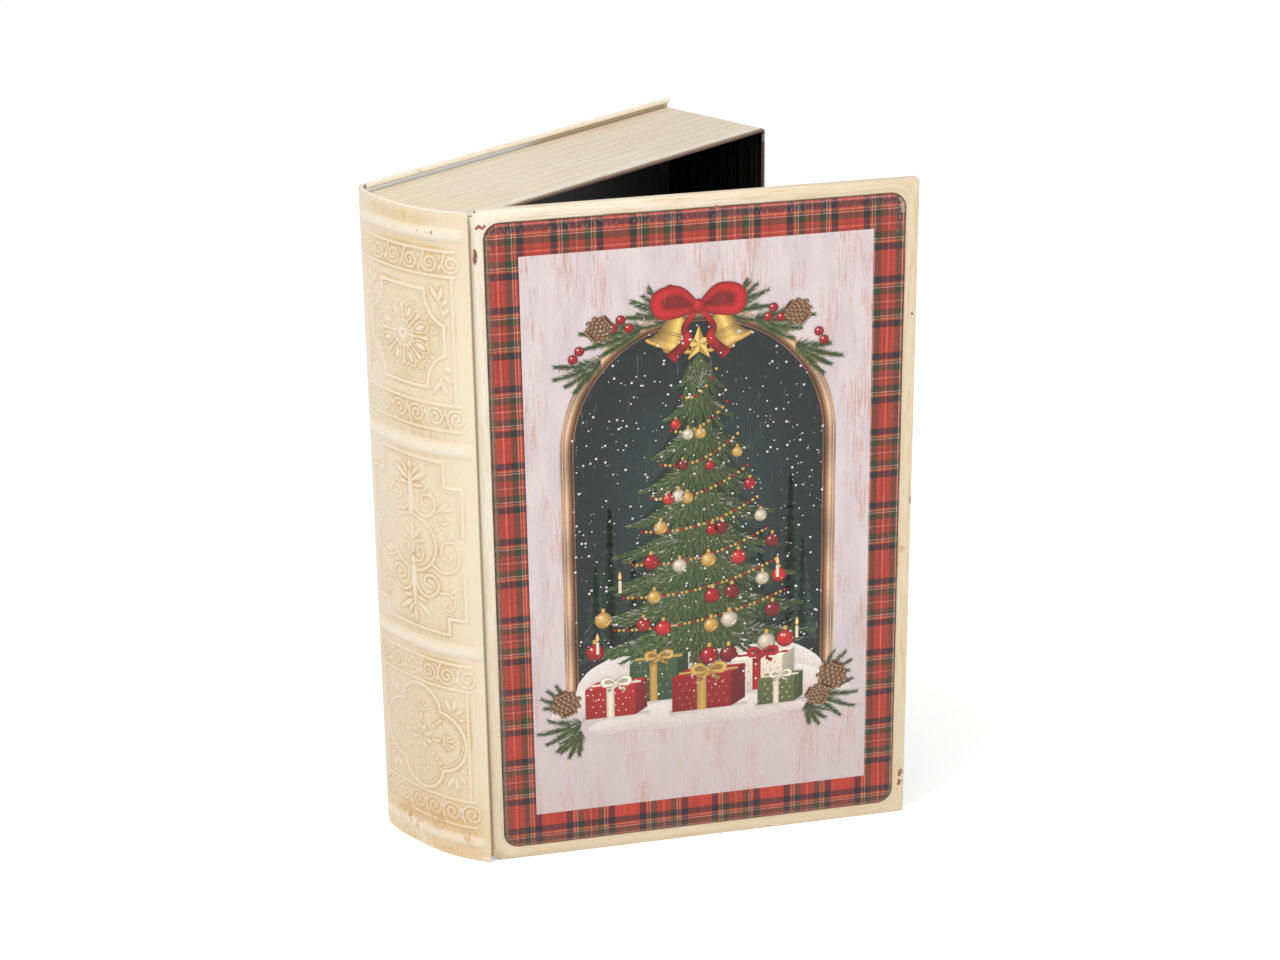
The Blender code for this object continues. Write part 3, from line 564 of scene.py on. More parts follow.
def tail_panel():
    centre = 219.4
    strokes = double_frame(lobed_frame(centre, 0), lobed_frame(centre, 1.6))
    strokes += [ring(1.7, centre, 0.8)]
    strokes += turned_copies(leaf((2.6, 0), (5.8, 0), 1.5), centre, 8, math.pi / 8)
    strokes += turned_copies(line([(2.4, 0), (4.4, 0)], 0.6), centre, 8)
    strokes += turned_copies(leaf((6.6, 0), (10.6, 0), 1.1), centre, 4)
    for distance in (8.6, 11.0, 13.2):
        strokes += turned_copies(line([(distance, 0), (distance + 0.5, 0)], 1.2), centre, 4,
                                 math.radians(48))
    for finger in (-66, -40, -16, 16, 40, 66):
        across, up = math.cos(math.radians(finger)), math.sin(math.radians(finger))
        length = 5.6 - abs(finger) / 30
        ray = [(10.8 + 0.5 * across, 0.8 * up), (10.8 + length * across, length * up)]
        strokes += turned_copies((ray, [0.45, 0.85], False), centre, 4)
    strokes += all_corners([
        leaf((15.9, 205.2), (12.2, 199.0)), leaf((16.6, 204.4), (17.4, 198.6)),
        leaf((17.8, 205.8), (21.2, 202.6), 1.3), leaf((18.6, 208.4), (21.8, 207.4), 1.0)], centre)
    return strokes + both_sides([line([(22.9, 194.9), (22.9, 243.9)])])


SCROLL_ROWS = ((15.5, 25.2, 1), (76.0, 86.2, -1), (184.1, 194.9, 1), (243.9, 255.2, -1))
strokes = [stroke for row in SCROLL_ROWS for stroke in scroll_row(*row)]
strokes += head_panel() + middle_panel() + tail_panel()
print("strokes", len(strokes))

# %% [markdown]
# The skin starts as a flat grid, fine enough for ridges of a millimetre. A ridge is a soft bead:
# highest on the stroke and level again at its edge. Every grid point takes the highest bead that
# it lies under, found segment by segment in the patch of grid round each.

# %% Heights of the embossing
COLUMNS, ROWS = 144, 640
SKIN_LEFT, SKIN_RIGHT = (-angle * SPINE_RADIUS / MM for angle in (CORNER_ANGLE, FRONT_ANGLE))
across = np.linspace(SKIN_LEFT, SKIN_RIGHT, COLUMNS)
down = np.linspace(HEM_RADIUS / MM, (HEIGHT - HEM_RADIUS) / MM, ROWS)
RIDGE_HALF = 0.78
RIDGE_RISE = 0.55


def near(places, first, second, reach):
    """The grid places within reach of two values."""
    return slice(*np.searchsorted(places, (min(first, second) - reach, max(first, second) + reach)))


def raise_segment(field, start, end, half_start, half_end):
    reach = max(half_start, half_end)
    columns = near(across, start[0], end[0], reach)
    rows = near(down, start[1], end[1], reach)
    u, t = np.meshgrid(across[columns], down[rows])
    if u.size == 0:
        return
    span = np.array(end) - np.array(start)
    share = np.clip(((u - start[0]) * span[0] + (t - start[1]) * span[1])
                    / max(span @ span, 1e-9), 0, 1)
    distance = np.hypot(u - start[0] - share * span[0], t - start[1] - share * span[1])
    half = half_start + (half_end - half_start) * share
    fall = np.clip(1 - (distance / half) ** 2, 0, 1)
    rise = RIDGE_RISE * np.minimum(1.15, 0.55 + 0.45 * half / RIDGE_HALF)
    field[rows, columns] = np.maximum(field[rows, columns], rise * fall ** 1.5)


relief = np.zeros((ROWS, COLUMNS))
for points, weights, closed in strokes:
    halves = [weight * RIDGE_HALF for weight in weights]
    for k in range(-1 if closed else 0, len(points) - 1):
        raise_segment(relief, points[k], points[k + 1], halves[k], halves[k + 1])
print("highest ridge mm", relief.max())

# %% [markdown]
# Old paint gathers a brown wash beside the ridges, where a rag can't wipe it away. A blurred copy
# of the relief is higher than the relief itself just there, so the difference says how much wash
# a point holds. The bands are added afterwards, as their slopes are too gentle to hold any.

# %% Bands and the wash in the hollows
def blurred(field, times):
    for _ in range(times):
        field = (np.roll(field, 1, 0) + 2 * field + np.roll(field, -1, 0)) / 4
        field = (np.roll(field, 1, 1) + 2 * field + np.roll(field, -1, 1)) / 4
    return field


hollow = np.clip((blurred(relief, 5) - relief) * 6, 0, 1)
BANDS = ((9.3, 4.6), (93.9, 5.6), (177.8, 5.4), (261.3, 4.4))
band_height = np.zeros(ROWS)
for centre, width in BANDS:
    share = np.clip(np.abs(down - centre) / (width / 2 + 0.6), 0, 1)
    band_height = np.maximum(band_height, (1 - share ** 2.2) ** 1.2)
fade = np.clip(np.minimum(across - SKIN_LEFT, SKIN_RIGHT - across) / 4.5, 0, 1)
fade = fade * fade * (3 - 2 * fade)
bands = band_height[:, None] * fade[None, :]
print("share of the spine with wash", float((hollow > 0.3).mean()))

# %% [markdown]
# Now the flat grid is rolled onto the spine. A grid point's place across becomes an angle, its
# place down becomes a height, and its relief pushes it out from the centre line. The wash and the
# relief travel with the points as attributes for the paint.

# %% The embossed skin
bpy.ops.object.select_all(action="DESELECT")
bpy.ops.mesh.primitive_grid_add(x_subdivisions=COLUMNS - 1, y_subdivisions=ROWS - 1, size=1)
skin = bpy.context.active_object
skin.name = "embossed_spine"
flat = np.zeros(len(skin.data.vertices) * 3)
skin.data.vertices.foreach_get("co", flat)
flat = flat.reshape(-1, 3)
column = np.rint((flat[:, 0] + 0.5) * (COLUMNS - 1)).astype(int)
row = np.rint((0.5 - flat[:, 1]) * (ROWS - 1)).astype(int)
angle = -across[column] * MM / SPINE_RADIUS
radius = SPINE_RADIUS + relief[row, column] * MM + bands[row, column] * BAND_RISE
rolled = np.stack([SPINE_CENTRE.x - radius * np.cos(angle), SPINE_CENTRE.y + radius * np.sin(angle),
                   HEIGHT - down[row] * MM], axis=1)
skin.data.vertices.foreach_set("co", rolled.ravel())
# The relief, with the bands in it, also drives a painted highlight on the raised parts.
for name, field in (("wash", hollow), ("relief", np.maximum(relief / relief.max(), 0.95 * bands))):
    layer = skin.data.attributes.new(name, "FLOAT", "POINT")
    layer.data.foreach_set("value", field[row, column].astype(np.float32))
skin.data.update()
bpy.ops.object.shade_smooth()
print("skin", len(skin.data.polygons), "faces, first normal", tuple(skin.data.polygons[0].normal))

# %% [markdown]
# The spine's paint is a cream enamel with a brown wash that was wiped off again. So it has three
# colours: cream on the ground, a paler cream painted on the ridges and bands as their highlight,
# and ochre where the wash stayed.
# Beside the bands the wash stayed in broad rows, which a ramp down the spine's height gives.

# %% Paint of the spine
CREAM = (240, 226, 198)
PALE = (244, 234, 216)
OCHRE = (214, 176, 120)
BROWN = (176, 132, 84)
STAINS = ((-88.0, 60.0, 12.0, 6.0), (-88.6, 54.0, 11.0, 5.0), (-88.3, 41.0, 14.5, 5.0),
          (-84.5, 26.6, 11.3, 4.0))
STAIN_CORES = ((-88.4, 57.5, 11.9, 2.0), (-88.2, 60.0, 11.4, 1.6))
TICKS = ((-87.1, 31.3, 261.9, 0.42), (-87.1, 31.4, 261.2, 0.4), (-87.3, 32.2, 261.6, 0.24),
         (-87.5, 33.0, 261.5, 0.22), (-87.8, 34.0, 261.4, 0.26), (-88.5, 37.6, 261.6, 0.3))
SCRATCH = ((-89.3, 46.8, 129.0, 0.9), (-89.3, 47.2, 129.8, 0.8), (-89.3, 46.5, 128.2, 0.8))
WASH_ROWS = ((0.0, 0.0), (1.4, 0.1), (3.8, 0.6), (6.4, 0.25), (9.2, 0.0), (11.6, 0.4), (13.4, 0.7),
             (15.2, 0.35), (40, 0.3), (76, 0.35), (87.6, 0.45), (89.6, 0.95), (91.2, 0.4),
             (94, 0.0), (97, 0.45), (101, 0.3), (150, 0.3), (171.6, 0.4), (173.6, 0.9),
             (175.4, 0.3), (178, 0.0), (181.4, 0.6), (183.4, 0.35), (215, 0.35), (248, 0.5),
             (256, 0.95), (258.2, 1.1), (259.6, 0.4), (261.4, 0.0), (264, 0.7), (268.6, 0.65))


def spine_wash(paint, y, z, streaks, clouds, fine):
    """Wash in broad rows, in the hollows and in thin streaks, most of it towards the hinge."""
    share_down = (HEIGHT / MM - z) / (HEIGHT / MM)
    rows = paint.ramp(share_down, [(down / 270, (level,) * 3 + (1,)) for down, level in WASH_ROWS])
    broad = rows * (0.45 + streaks.step(0.3, 0.7) * 0.6) * (0.4 + y.step(23, 36) * 0.6)
    hollows = paint.attribute("wash") * (0.25 + clouds.step(0.35, 0.65))
    wash = broad * 0.75 + hollows * 1.15 + fine.step(0.42, 0.75) * 0.28
    wash = (wash * (0.45 + y.fall(40, 72) * 0.55)).clamped()
    beside_the_lid = z.fall(60, 130) * y.step(19.2, 22.4)
    return wash * (0.25 + paint.math("MAXIMUM", y.step(19.5, 33), beside_the_lid) * 0.63)


def spine_paint():
    paint = Finish("antique_cream_spine")
    place = paint.place()
    x, y, z = paint.parts(place)
    streaks = place.noise((0.9, 0.9, 0.045), 4)
    clouds = place.noise(0.045, 2)
    wash = spine_wash(paint, y, z, streaks, clouds, place.noise((3.2, 3.2, 0.14)))
    blotches = place.noise((0.5, 0.5, 0.35), 5, 0.7).step(0.4, 0.62)
    head_stain = z.band(263.2, 267.6, 1.4) * y.band(36, 64, 5.0) * streaks.step(0.3, 0.62)
    foot = z.fall(5, 14) * clouds.step(0.4, 0.6)
    colour = paint.coats(CREAM, [
        (y.step(36, 74), (234, 220, 199)),
        (z.step(215, 255) * 0.3, (230, 210, 178)),
        (z.fall(30, 150) * (0.15 + y.step(24, 56) * 0.5), (224, 203, 173)),
        (z.fall(4, 40), (232, 206, 166)),
        (wash, OCHRE),
        # Painted highlight: the ridges and bands are made paler by their height.
        (paint.attribute("relief") * 0.6, PALE),
        (head_stain * 0.6, (224, 186, 128)),
        (paint.spots(place, STAINS) * blotches * 0.6, (206, 160, 98)),
        (foot * (0.55 - blotches * 0.55), PALE),
        (paint.spots(place, STAIN_CORES) * blotches * 0.5, BROWN),
        (paint.spots(place, TICKS) * 0.85, (70, 56, 40)),
        (paint.spots(place, SCRATCH) * 0.7, (140, 140, 142)),
    ])
    return paint.finish(colour, 0.36 + wash * 0.16, place.noise(2.2), 0.00003)


skin.data.materials.append(spine_paint())
print("spine paint nodes", len(skin.data.materials[0].node_tree.nodes))

# %% [markdown]
# The rest of the cover sheet has two sides. Outside it is the same cream, plainer and streaked
# along the height, with a paler cream painted on its rolled head as a highlight, a painted shadow
# line under the roll and brown painted shade at the hinge gap. Inside, the box is lacquered black,
# but the strips that look out past the page edges show the bare tin, painted near white as its
# sheen, with some cream sprayed over it.

# %% Paint of the back cover
ROLL_HEIGHT = 2.75 * MM
TIN_TOUCH = ((-52.0, 76.0, 268.0, 2.2), (-8.0, 76.0, 268.2, 1.2), (-7.0, 76.5, 266.6, 0.9),
             (58.0, 76.3, 269.4, 0.8))


def is_inside(face):
    """The inner side of the back cover or of the spine, away from the rolled and hemmed edges."""
    centre, normal = face.center, face.normal
    if normal.y < -0.7 and centre.y > 70 * MM:
        return ROLL_HEIGHT < centre.z < HEIGHT - ROLL_HEIGHT
    towards = Vector((SPINE_CENTRE.x - centre.x, SPINE_CENTRE.y - centre.y, 0))
    return (towards.length < SPINE_RADIUS - 0.25 * MM and centre.x < -70 * MM
            and normal.dot(towards.normalized()) > 0.7)


def cover_paint():
    paint = Finish("antique_cream_cover")
    place = paint.place()
    x, y, z = paint.parts(place)
    clouds = place.noise(0.03, 2)
    wash = place.noise((0.55, 0.55, 0.03), 4).step(0.45, 0.75) * (0.15 + clouds * 0.5)
    head = z.step(262, 269)
    under_roll = y.band(74.0, 76.9, 0.1) * z.band(265.9, 268.25, 0.12) * (x > -80.5)
    # Bare tin, painted near white as a sheen that stands in for the metal's shine, with cream
    # overspray.
    tin_and_sheen = paint.mix((x + clouds * 20).step(14, 30), (250, 251, 250), (226, 206, 172))
    colour = paint.coats(CREAM, [
        (wash, OCHRE),
        # Painted highlight: the rolled head edge is made paler, as if it catches the light.
        (head * 0.85, (253, 243, 224)),
        (paint.spots(place, TIN_TOUCH) * place.noise(1.6, 4).step(0.42, 0.6) * 0.8, BROWN),
        (head * place.noise((0.3, 1.5, 1.5)).step(0.5, 0.75) * 0.45, OCHRE),
        (under_roll, tin_and_sheen),
        # Painted shadow: a dark line right under the roll.
        (under_roll * z.band(268.0, 268.3, 0.1) * 0.9, (112, 98, 84)),
        # Painted shade: brown on the hem's edge darkens the hinge gap between spine and lid.
        (y.fall(18.6, 18.85) * (x < -60) * 0.85, BROWN),
    ])
    return paint.finish(colour, 0.36 + wash * 0.15, place.noise(2.2), 0.00003)


def inside_lacquer():
    """Black lacquer inside the box, bare tin on the strips beyond the page edges.
    The tin is painted near white as its sheen.
    """
    lacquer = Finish("black_lacquer_and_tin")
    place = lacquer.place()
    x, y, z = lacquer.parts(place)
    outside = lacquer.math("MAXIMUM", z.step(265.2, 266.0), z.fall(4.0, 4.8))
    brushed = place.noise((0.08, 3.0, 3.0))
    # Near-white tin: a painted sheen in place of the metal's reflection.
    tin_and_sheen = lacquer.mix(brushed, (246, 247, 247), (254, 254, 254))
    tin_and_sheen = lacquer.mix((x + brushed * 18).step(8, 26), tin_and_sheen, (214, 194, 156))
    black = lacquer.mix(place.noise((0.5, 0.5, 0.02)), (10, 10, 11), (34, 33, 32))
    colour = lacquer.mix(outside, black, tin_and_sheen)
    return lacquer.finish(colour, 0.45 - outside * 0.1, place.noise(1.8), 0.00004)


def paint_both_sides(piece, outer, inner, test):
    """Two finishes on one sheet: the second on the faces that pass the test."""
    piece.data.materials.append(outer)
    piece.data.materials.append(inner)
    picked = pick_faces(piece, test)
    for face in piece.data.polygons:
        if face.select:
            face.material_index = 1
    print(piece.name, "inner faces", picked)


paint_both_sides(cover, cover_paint(), inside_lacquer(), is_inside)

# %% [markdown]
# The page edges are the same thin sheet, pressed into fine ribs and wiped with beige, so that they
# look like a block of paper. Long streaks along the ribs read as single leaves. The rolled rim
# is where hands and the lid rub, so there the paint is worn to a coppery brown.

# %% Paint of the page edges
PAGE_LOW, PAGE_HIGH = (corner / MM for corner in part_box("page_edges"))
PAGE_TOP, RIM_FRONT, WALL_END = PAGE_HIGH.z, PAGE_LOW.y, PAGE_HIGH.x
BARE_CORNER = ((WALL_END - 0.6, RIM_FRONT + 0.7, PAGE_TOP - 3.4, 1.5),
               (WALL_END - 0.6, RIM_FRONT + 0.7, PAGE_TOP - 4.8, 1.1))
LEAF_COLOURS = ((0.3, srgb(214, 188, 150)), (0.42, srgb(238, 220, 192)),
                (0.55, srgb(248, 234, 212)), (0.72, srgb(252, 244, 230)))


def page_paint():
    paint = Finish("page_edge_beige")
    place = paint.place()
    x, y, z = paint.parts(place)
    leaves = place.noise((0.012, 4.2, 0.012), 4, 0.7)
    coarse = place.noise((0.03, 0.9, 0.03))
    rub = place.noise((0.12, 0.5, 0.12))
    rim = (y + rub * 0.9).fall(RIM_FRONT + 1.2, RIM_FRONT + 2.0)
    copper = paint.coats(paint.mix(rub, (92, 62, 50), (142, 104, 84)), [
        (z.step(PAGE_TOP - 0.7, PAGE_TOP - 0.1) * 0.45, (190, 170, 152)),
        (paint.spots(place, BARE_CORNER), (150, 150, 150)),
    ])
    worn = y.band(RIM_FRONT + 1.9, RIM_FRONT + 5.0, 0.6) * rub.step(0.35, 0.6)
    colour = paint.coats(paint.ramp(leaves, LEAF_COLOURS), [
        (coarse.step(0.45, 0.7) * 0.3, (214, 190, 150)),
        (x.fall(-78, -30) * 0.3, (238, 218, 176)),
        (worn, (243, 236, 226)),
        (rim, copper),
    ])
    return paint.finish(colour, 0.42 + leaves * 0.15, leaves + coarse * 0.4, 0.00022)


def is_page_inside(face):
    """The side of a wall that looks into the box, rim and flange apart."""
    centre, normal = face.center, face.normal
    if centre.y < (RIM_FRONT + 1.3) * MM:
        return False
    in_end_wall = centre.x > (WALL_END - 6) * MM and abs(normal.x) > 0.5
    inward = Vector((-0.02 - centre.x if in_end_wall else 0, 0,
                     HEIGHT / 2 - centre.z if abs(normal.z) > 0.5 else 0))
    return normal.dot(inward) > 0 or centre.y > 75.9 * MM


def inner_black():
    lacquer = Finish("black_lacquer_ribbed")
    place = lacquer.place()
    x, y, z = lacquer.parts(place)
    streak = place.noise((0.02, 1.4, 0.02))
    lines = lacquer.point(0, y * 0.9, 0).noise(1.0, 2).step(0.5, 0.62)
    rib_highlight_by_rim = (x > WALL_END - 4) * y.fall(RIM_FRONT + 8, RIM_FRONT + 20)
    black = lacquer.mix(streak.step(0.4, 0.7), (9, 9, 10), (46, 45, 44))
    # Painted highlight: lighter lines on the ribs of the inner wall near the fore-edge rim.
    colour = lacquer.mix(lines * rib_highlight_by_rim, black, (92, 88, 84))
    return lacquer.finish(colour, 0.36 + streak * 0.2, streak, 0.0003)


paint_both_sides(pages, page_paint(), inner_black(), is_page_inside)

# %% [markdown]
# The sheet was bent round the back corner by hand, so this corner is a little fuller than the die's
# curve, and more so at the tail. Skin, cover and page edges are eased out there together, by the
# same smooth amount, so that no gap opens between them.

# %% Ease the back corner
CORNER_OUT_HEAD, CORNER_OUT_TAIL = 1.5 * MM, 3.2 * MM


def smooth(values, low, high):
    share = np.clip((values - low) / (high - low), 0, 1)
    return share * share * (3 - 2 * share)


def ease_corner(piece):
    places = np.zeros(len(piece.data.vertices) * 3)
    piece.data.vertices.foreach_get("co", places)
    places = places.reshape(-1, 3)
    share = smooth(places[:, 1], 50 * MM, 76 * MM) * (1 - smooth(places[:, 0], -82 * MM, -74 * MM))
    outwards = CORNER_OUT_TAIL + (CORNER_OUT_HEAD - CORNER_OUT_TAIL) * places[:, 2] / HEIGHT
    places[:, 0] -= outwards * share
    piece.data.vertices.foreach_set("co", places.ravel())
    piece.data.update()
    return float((outwards * share).max() / MM)


moved = [round(ease_corner(piece), 2) for piece in (cover, skin, pages)]
print("moved out by at most", moved, "mm")

# %% [markdown]
# The lid has its own upright grid, in which x runs from the hinge to the fore-edge. All its print
# is placed on that grid. The border paint follows the raised panel, so its streaks need the
# distance to a rectangle with round corners: negative on the panel, positive outside.

# %% The lid's grid
LID_REACH, LID_HEIGHT = 170.4, 270
PANEL_LEFT, PANEL_RIGHT = 4.1, LID_REACH - 5.2
PANEL_BOTTOM, PANEL_TOP = 5.3, LID_HEIGHT - 5.1
PANEL_CORNER = 6.2
PICTURE = (16.6, 152.5, 19.1, 251.7)
TO_LID = Matrix.Rotation(LID_OPEN, 3, "Z")


def beyond_panel(paint, x, z):
    """Distance to the edge of the panel, a rectangle with round corners: negative inside it."""
    across = (abs(x - (PANEL_LEFT + PANEL_RIGHT) / 2)
              - ((PANEL_RIGHT - PANEL_LEFT) / 2 - PANEL_CORNER))
    upward = (abs(z - (PANEL_BOTTOM + PANEL_TOP) / 2)
              - ((PANEL_TOP - PANEL_BOTTOM) / 2 - PANEL_CORNER))
    corner = paint.point(paint.math("MAXIMUM", across, 0), 0, paint.math("MAXIMUM", upward, 0))
    inner = paint.math("MINIMUM", paint.math("MAXIMUM", across, upward), 0)
    return paint.vector("LENGTH", corner) + inner - PANEL_CORNER


print("panel", PANEL_RIGHT - PANEL_LEFT, "x", PANEL_TOP - PANEL_BOTTOM, "mm, picture",
      PICTURE[1] - PICTURE[0], "x", PICTURE[3] - PICTURE[2])

# %% [markdown]
# A tartan is woven from one list of coloured threads, used both ways. The list is mirrored at its
# centre line, so a ping-pong of the place gives the distance from that line, and a ramp
# with hard edges turns it into a thread colour. Where threads cross, the eye sees the mean of both,
# so they are mixed in the screen's scale, which a gamma node then makes linear.

# %% Tartan
THREAD_COLOURS = {
    "red": (190, 62, 47), "orange": (224, 150, 120), "brick": (156, 58, 46),
    "dull red": (164, 60, 49), "dark red": (118, 50, 42), "navy": (20, 18, 38),
    "green": (50, 56, 37), "yellow": (206, 194, 134), "white": (216, 194, 172)}
THREADS = ((0.0, "orange"), (0.17, "red"), (0.65, "dark red"), (1.1, "brick"), (1.95, "dull red"),
           (2.85, "green"), (5.35, "white"), (5.7, "dark red"), (6.1, "dull red"),
           (6.45, "yellow"), (6.75, "red"), (7.4, "navy"), (9.9, "red"))
HALF_SETT = 14.95
SETT_ACROSS, SETT_UP = 29.95, 31.0
FIRST_ACROSS, FIRST_UP = 8.7, 34.5
JOIN_UP, JOIN_GAP = 114.0, 1.95
SCREEN_GAMMA = 2.2


def tartan(paint, x, z):
    stops = [(start / HALF_SETT, tuple(channel / 255 for channel in THREAD_COLOURS[name]) + (1.0,))
             for start, name in THREADS]
    joined = z - (z > JOIN_UP) * JOIN_GAP
    warp, weft = (paint.ramp(paint.math("PINGPONG", place - first, sett / 2) / (sett / 2), stops,
                             sharp=True)
                  for place, first, sett in ((x, FIRST_ACROSS, SETT_ACROSS),
                                             (joined, FIRST_UP, SETT_UP)))
    cloth = paint.add("Gamma", {"Color": paint.mix(0.5, warp, weft), "Gamma": SCREEN_GAMMA},
                      "Color")
    upright = paint.point(x * 1.1, 0, z * 0.03).noise(1.0)
    level = paint.point(x * 0.05, 5, z * 2.4).noise(1.0, 2)
    return paint.shaded(cloth, upright * 1.2 + level * 0.75)


print("threads in half a sett", len(THREADS))

# %% [markdown]
# The whole front is printed in one pass: border, panel and picture ground are one network that
# chooses by distance. Wear and painted light come last, over all of them: scratches where the
# panel is proud, paler along its top as a painted highlight; the tartan darker along its bottom
# as painted shade; a painted highlight on the panel's rounded shoulder and a painted glint at its
# top right corner; a dark line of wash and painted shade in its groove; brown painted shade in
# the hinge gap; and a few chips down to the brown primer.

# %% Print of the lid
HINGE_CHIPS = ((1.7, 263.6, 0.75), (2.4, 264.2, 0.85), (3.2, 263.8, 0.75), (3.9, 263.5, 0.7),
               (4.6, 264.2, 0.6), (0.6, 255.4, 0.55), (0.9, 254.6, 0.7), (0.9, 253.8, 0.9),
               (0.8, 252.9, 0.95), (0.7, 252.0, 1.0), (0.7, 251.2, 0.9), (0.6, 250.5, 0.65))
EDGE_CHIPS = ((170.0, 140.0, 0.5), (170.0, 139.1, 0.65), (170.0, 138.2, 0.5), (168.6, 216.5, 0.65),
              (168.9, 19.1, 0.8), (168.6, 18.1, 0.95), (168.3, 17.1, 0.8), (168.5, 14.2, 0.9),
              (168.3, 13.1, 0.9), (170.1, 17.8, 0.5), (170.1, 13.9, 0.5), (91.6, 265.1, 0.5),
              (166.9, 118.8, 0.42))
SMEAR = ((166.6, 118.4, 2.0),)
CORNER_RUB = ((163.4, 262.6, 1.3), (163.8, 260.4, 1.4), (163.9, 258.0, 1.2))
GLINT = ((163.5, 263.2, 0.5), (163.0, 263.6, 0.4))
SHEAR = 0.0024


def on_grid(paint, x, z, across, up, layer, detail=3, roughness=0.55):
    """Noise on the lid's grid, stretched both ways. The layer keeps one from the next."""
    return paint.point(x * across, layer, z * up).noise(1.0, detail, roughness)


def border_streaks(paint, x, z, depth, outside):
    """Streaks of wash that run along the border, round its corners and over the turned edge."""
    outward = (paint.math("MINIMUM", outside, 5.0) + paint.math("MAXIMUM", depth + 1.4, 0))
    broad, fine, blots = (
        paint.point(outward * out, x * along, z * along).noise(1.0, detail, roughness)
        for out, along, detail, roughness in ((1.7, 0.03, 3, 0.55), (6.0, 0.11, 4, 0.7),
                                              (0.6, 0.09, 4, 0.65)))
    lines = (broad.step(0.45, 0.68) * 0.5 + fine.step(0.46, 0.72) * 0.55).clamped()
    lines = (lines * (0.45 + blots.step(0.38, 0.62))).clamped()
    return lines * (0.65 + x.step(6, 20) * 0.35)


def picture_ground(paint, x, z):
    """Pale painted wood: boards, fibres and flecks that are rubbed down to the priming."""
    grain = on_grid(paint, x, z, 1.5, 0.07, 0, 4)
    boards = on_grid(paint, x, z, 0.12, 0.03, 3)
    patches = on_grid(paint, x, z, 0.09, 0.035, 7)
    fibres = on_grid(paint, x, z, 2.8, 0.16, 1)
    flecks = on_grid(paint, x, z, 3.6, 0.55, 11, 5, 0.75)
    worn = grain.step(0.46, 0.64) * (0.2 + patches.step(0.48, 0.62) * 0.9)
    worn = (worn * fibres.step(0.3, 0.6)).clamped()
    rubbed = (grain * 0.5 + flecks * 0.5 + patches * 0.45).step(0.73, 0.89)
    return paint.coats(paint.mix(boards.step(0.35, 0.65), (216, 202, 206), (228, 214, 214)), [
        (worn * (0.25 + z.step(30, 130) * 0.55), (208, 166, 150)),
        (fibres.step(0.55, 0.75) * 0.25, (186, 158, 150)),
        (z.fall(10, 130) * 0.75, (206, 190, 189)),
        (rubbed * 0.75, (208, 158, 136)),
    ])


def lid_print():
    paint = Finish("lid_print")
    x, depth, from_middle = paint.parts(paint.place(LID_OPEN, HINGE))
    z = from_middle + HINGE.z / MM
    flat = paint.point(x, 0, z)
    outside = beyond_panel(paint, x, z)
    lines = border_streaks(paint, x, z, depth, outside)
    cream = paint.mix(x.step(20, 168), (249, 238, 216), (233, 216, 186))
    border = paint.coats(cream, [
        (z.fall(10, 150) * 0.85, (230, 211, 180)),
        (lines, (214, 182, 128)),
        (paint.spots(flat, SMEAR) * 0.5, OCHRE),
    ])
    print_x = x - (265 - z) * SHEAR
    # Painted shade: the tartan is darkened along the bottom of the panel, where its edge turns
    # down.
    cloth = paint.mix(z.fall(4, 20) * 0.18, tartan(paint, print_x, z), (110, 70, 60))
    left, right, bottom, top = PICTURE
    in_picture = print_x.band(left, right, 0.06) * z.band(bottom, top, 0.06)
    scratches = on_grid(paint, x, z, 4.0, 0.35, 9)
    near_edge = abs(outside + 2.6).fall(1.0, 3.6) * (0.25 + z.step(235, 262) * 0.75)
    left_edge = x.band(PANEL_LEFT - 1, PANEL_LEFT + 2.0, 0.7)
    groove = outside.band(-0.32, 0.18, 0.12) * (0.65 + flat.noise(0.08, 2) * 0.6)
    ragged = paint.vector("MULTIPLY", paint.point(flat.noise(1.4), 0, flat.noise(1.9)),
                          (1.2, 0, 1.2))
    ragged = paint.vector("SUBTRACT", paint.vector("ADD", flat, ragged), (0.6, 0, 0.6))
    chips = paint.spots(ragged, HINGE_CHIPS + EDGE_CHIPS) * depth.fall(-1.3, -0.5)
    colour = paint.coats(paint.mix(in_picture, cloth, picture_ground(paint, x, z)), [
        # Scratches near the panel's edge, and a painted highlight: they are much stronger along its
        # top.
        (near_edge * scratches.step(0.5, 0.7) * 0.6, (205, 150, 140)),
        (left_edge * scratches.step(0.3, 0.6) * 0.42, (150, 112, 94)),
        # Painted highlight on the panel's rounded shoulder, just inside the groove.
        (outside.band(-1.3, -0.75, 0.2) * 0.12, (236, 205, 190)),
        (paint.spots(flat, CORNER_RUB) * 0.45, (226, 186, 176)),
        (paint.spots(flat, GLINT), (252, 246, 240)),
        (outside.step(-0.3, -0.1), border),
        # Painted shade: brown on the hinge barrel darkens the gap between lid and spine.
        (x.fall(-1.75, -1.35) * 0.8, BROWN),
        # The groove's dark line: wash together with painted shade.
        (groove.clamped(), (66, 44, 32)),
        (chips, (148, 92, 74)),
    ])
    return paint.finish(colour, 0.42 - in_picture * 0.02, lines * -0.4 + flat.noise(1.6), 0.00004)


def lid_inside():
    lacquer = Finish("black_lacquer_lid")
    place = lacquer.place()
    streak = place.noise((0.5, 0.5, 0.03), 4)
    colour = lacquer.mix(streak.step(0.35, 0.75), (12, 12, 13), (38, 36, 35))
    return lacquer.finish(colour, 0.34 + streak * 0.2, place.noise(1.8), 0.00004)


BARREL_END = 2.2
BACK_OF_EDGE = -1.7 + 0.35 + 0.2


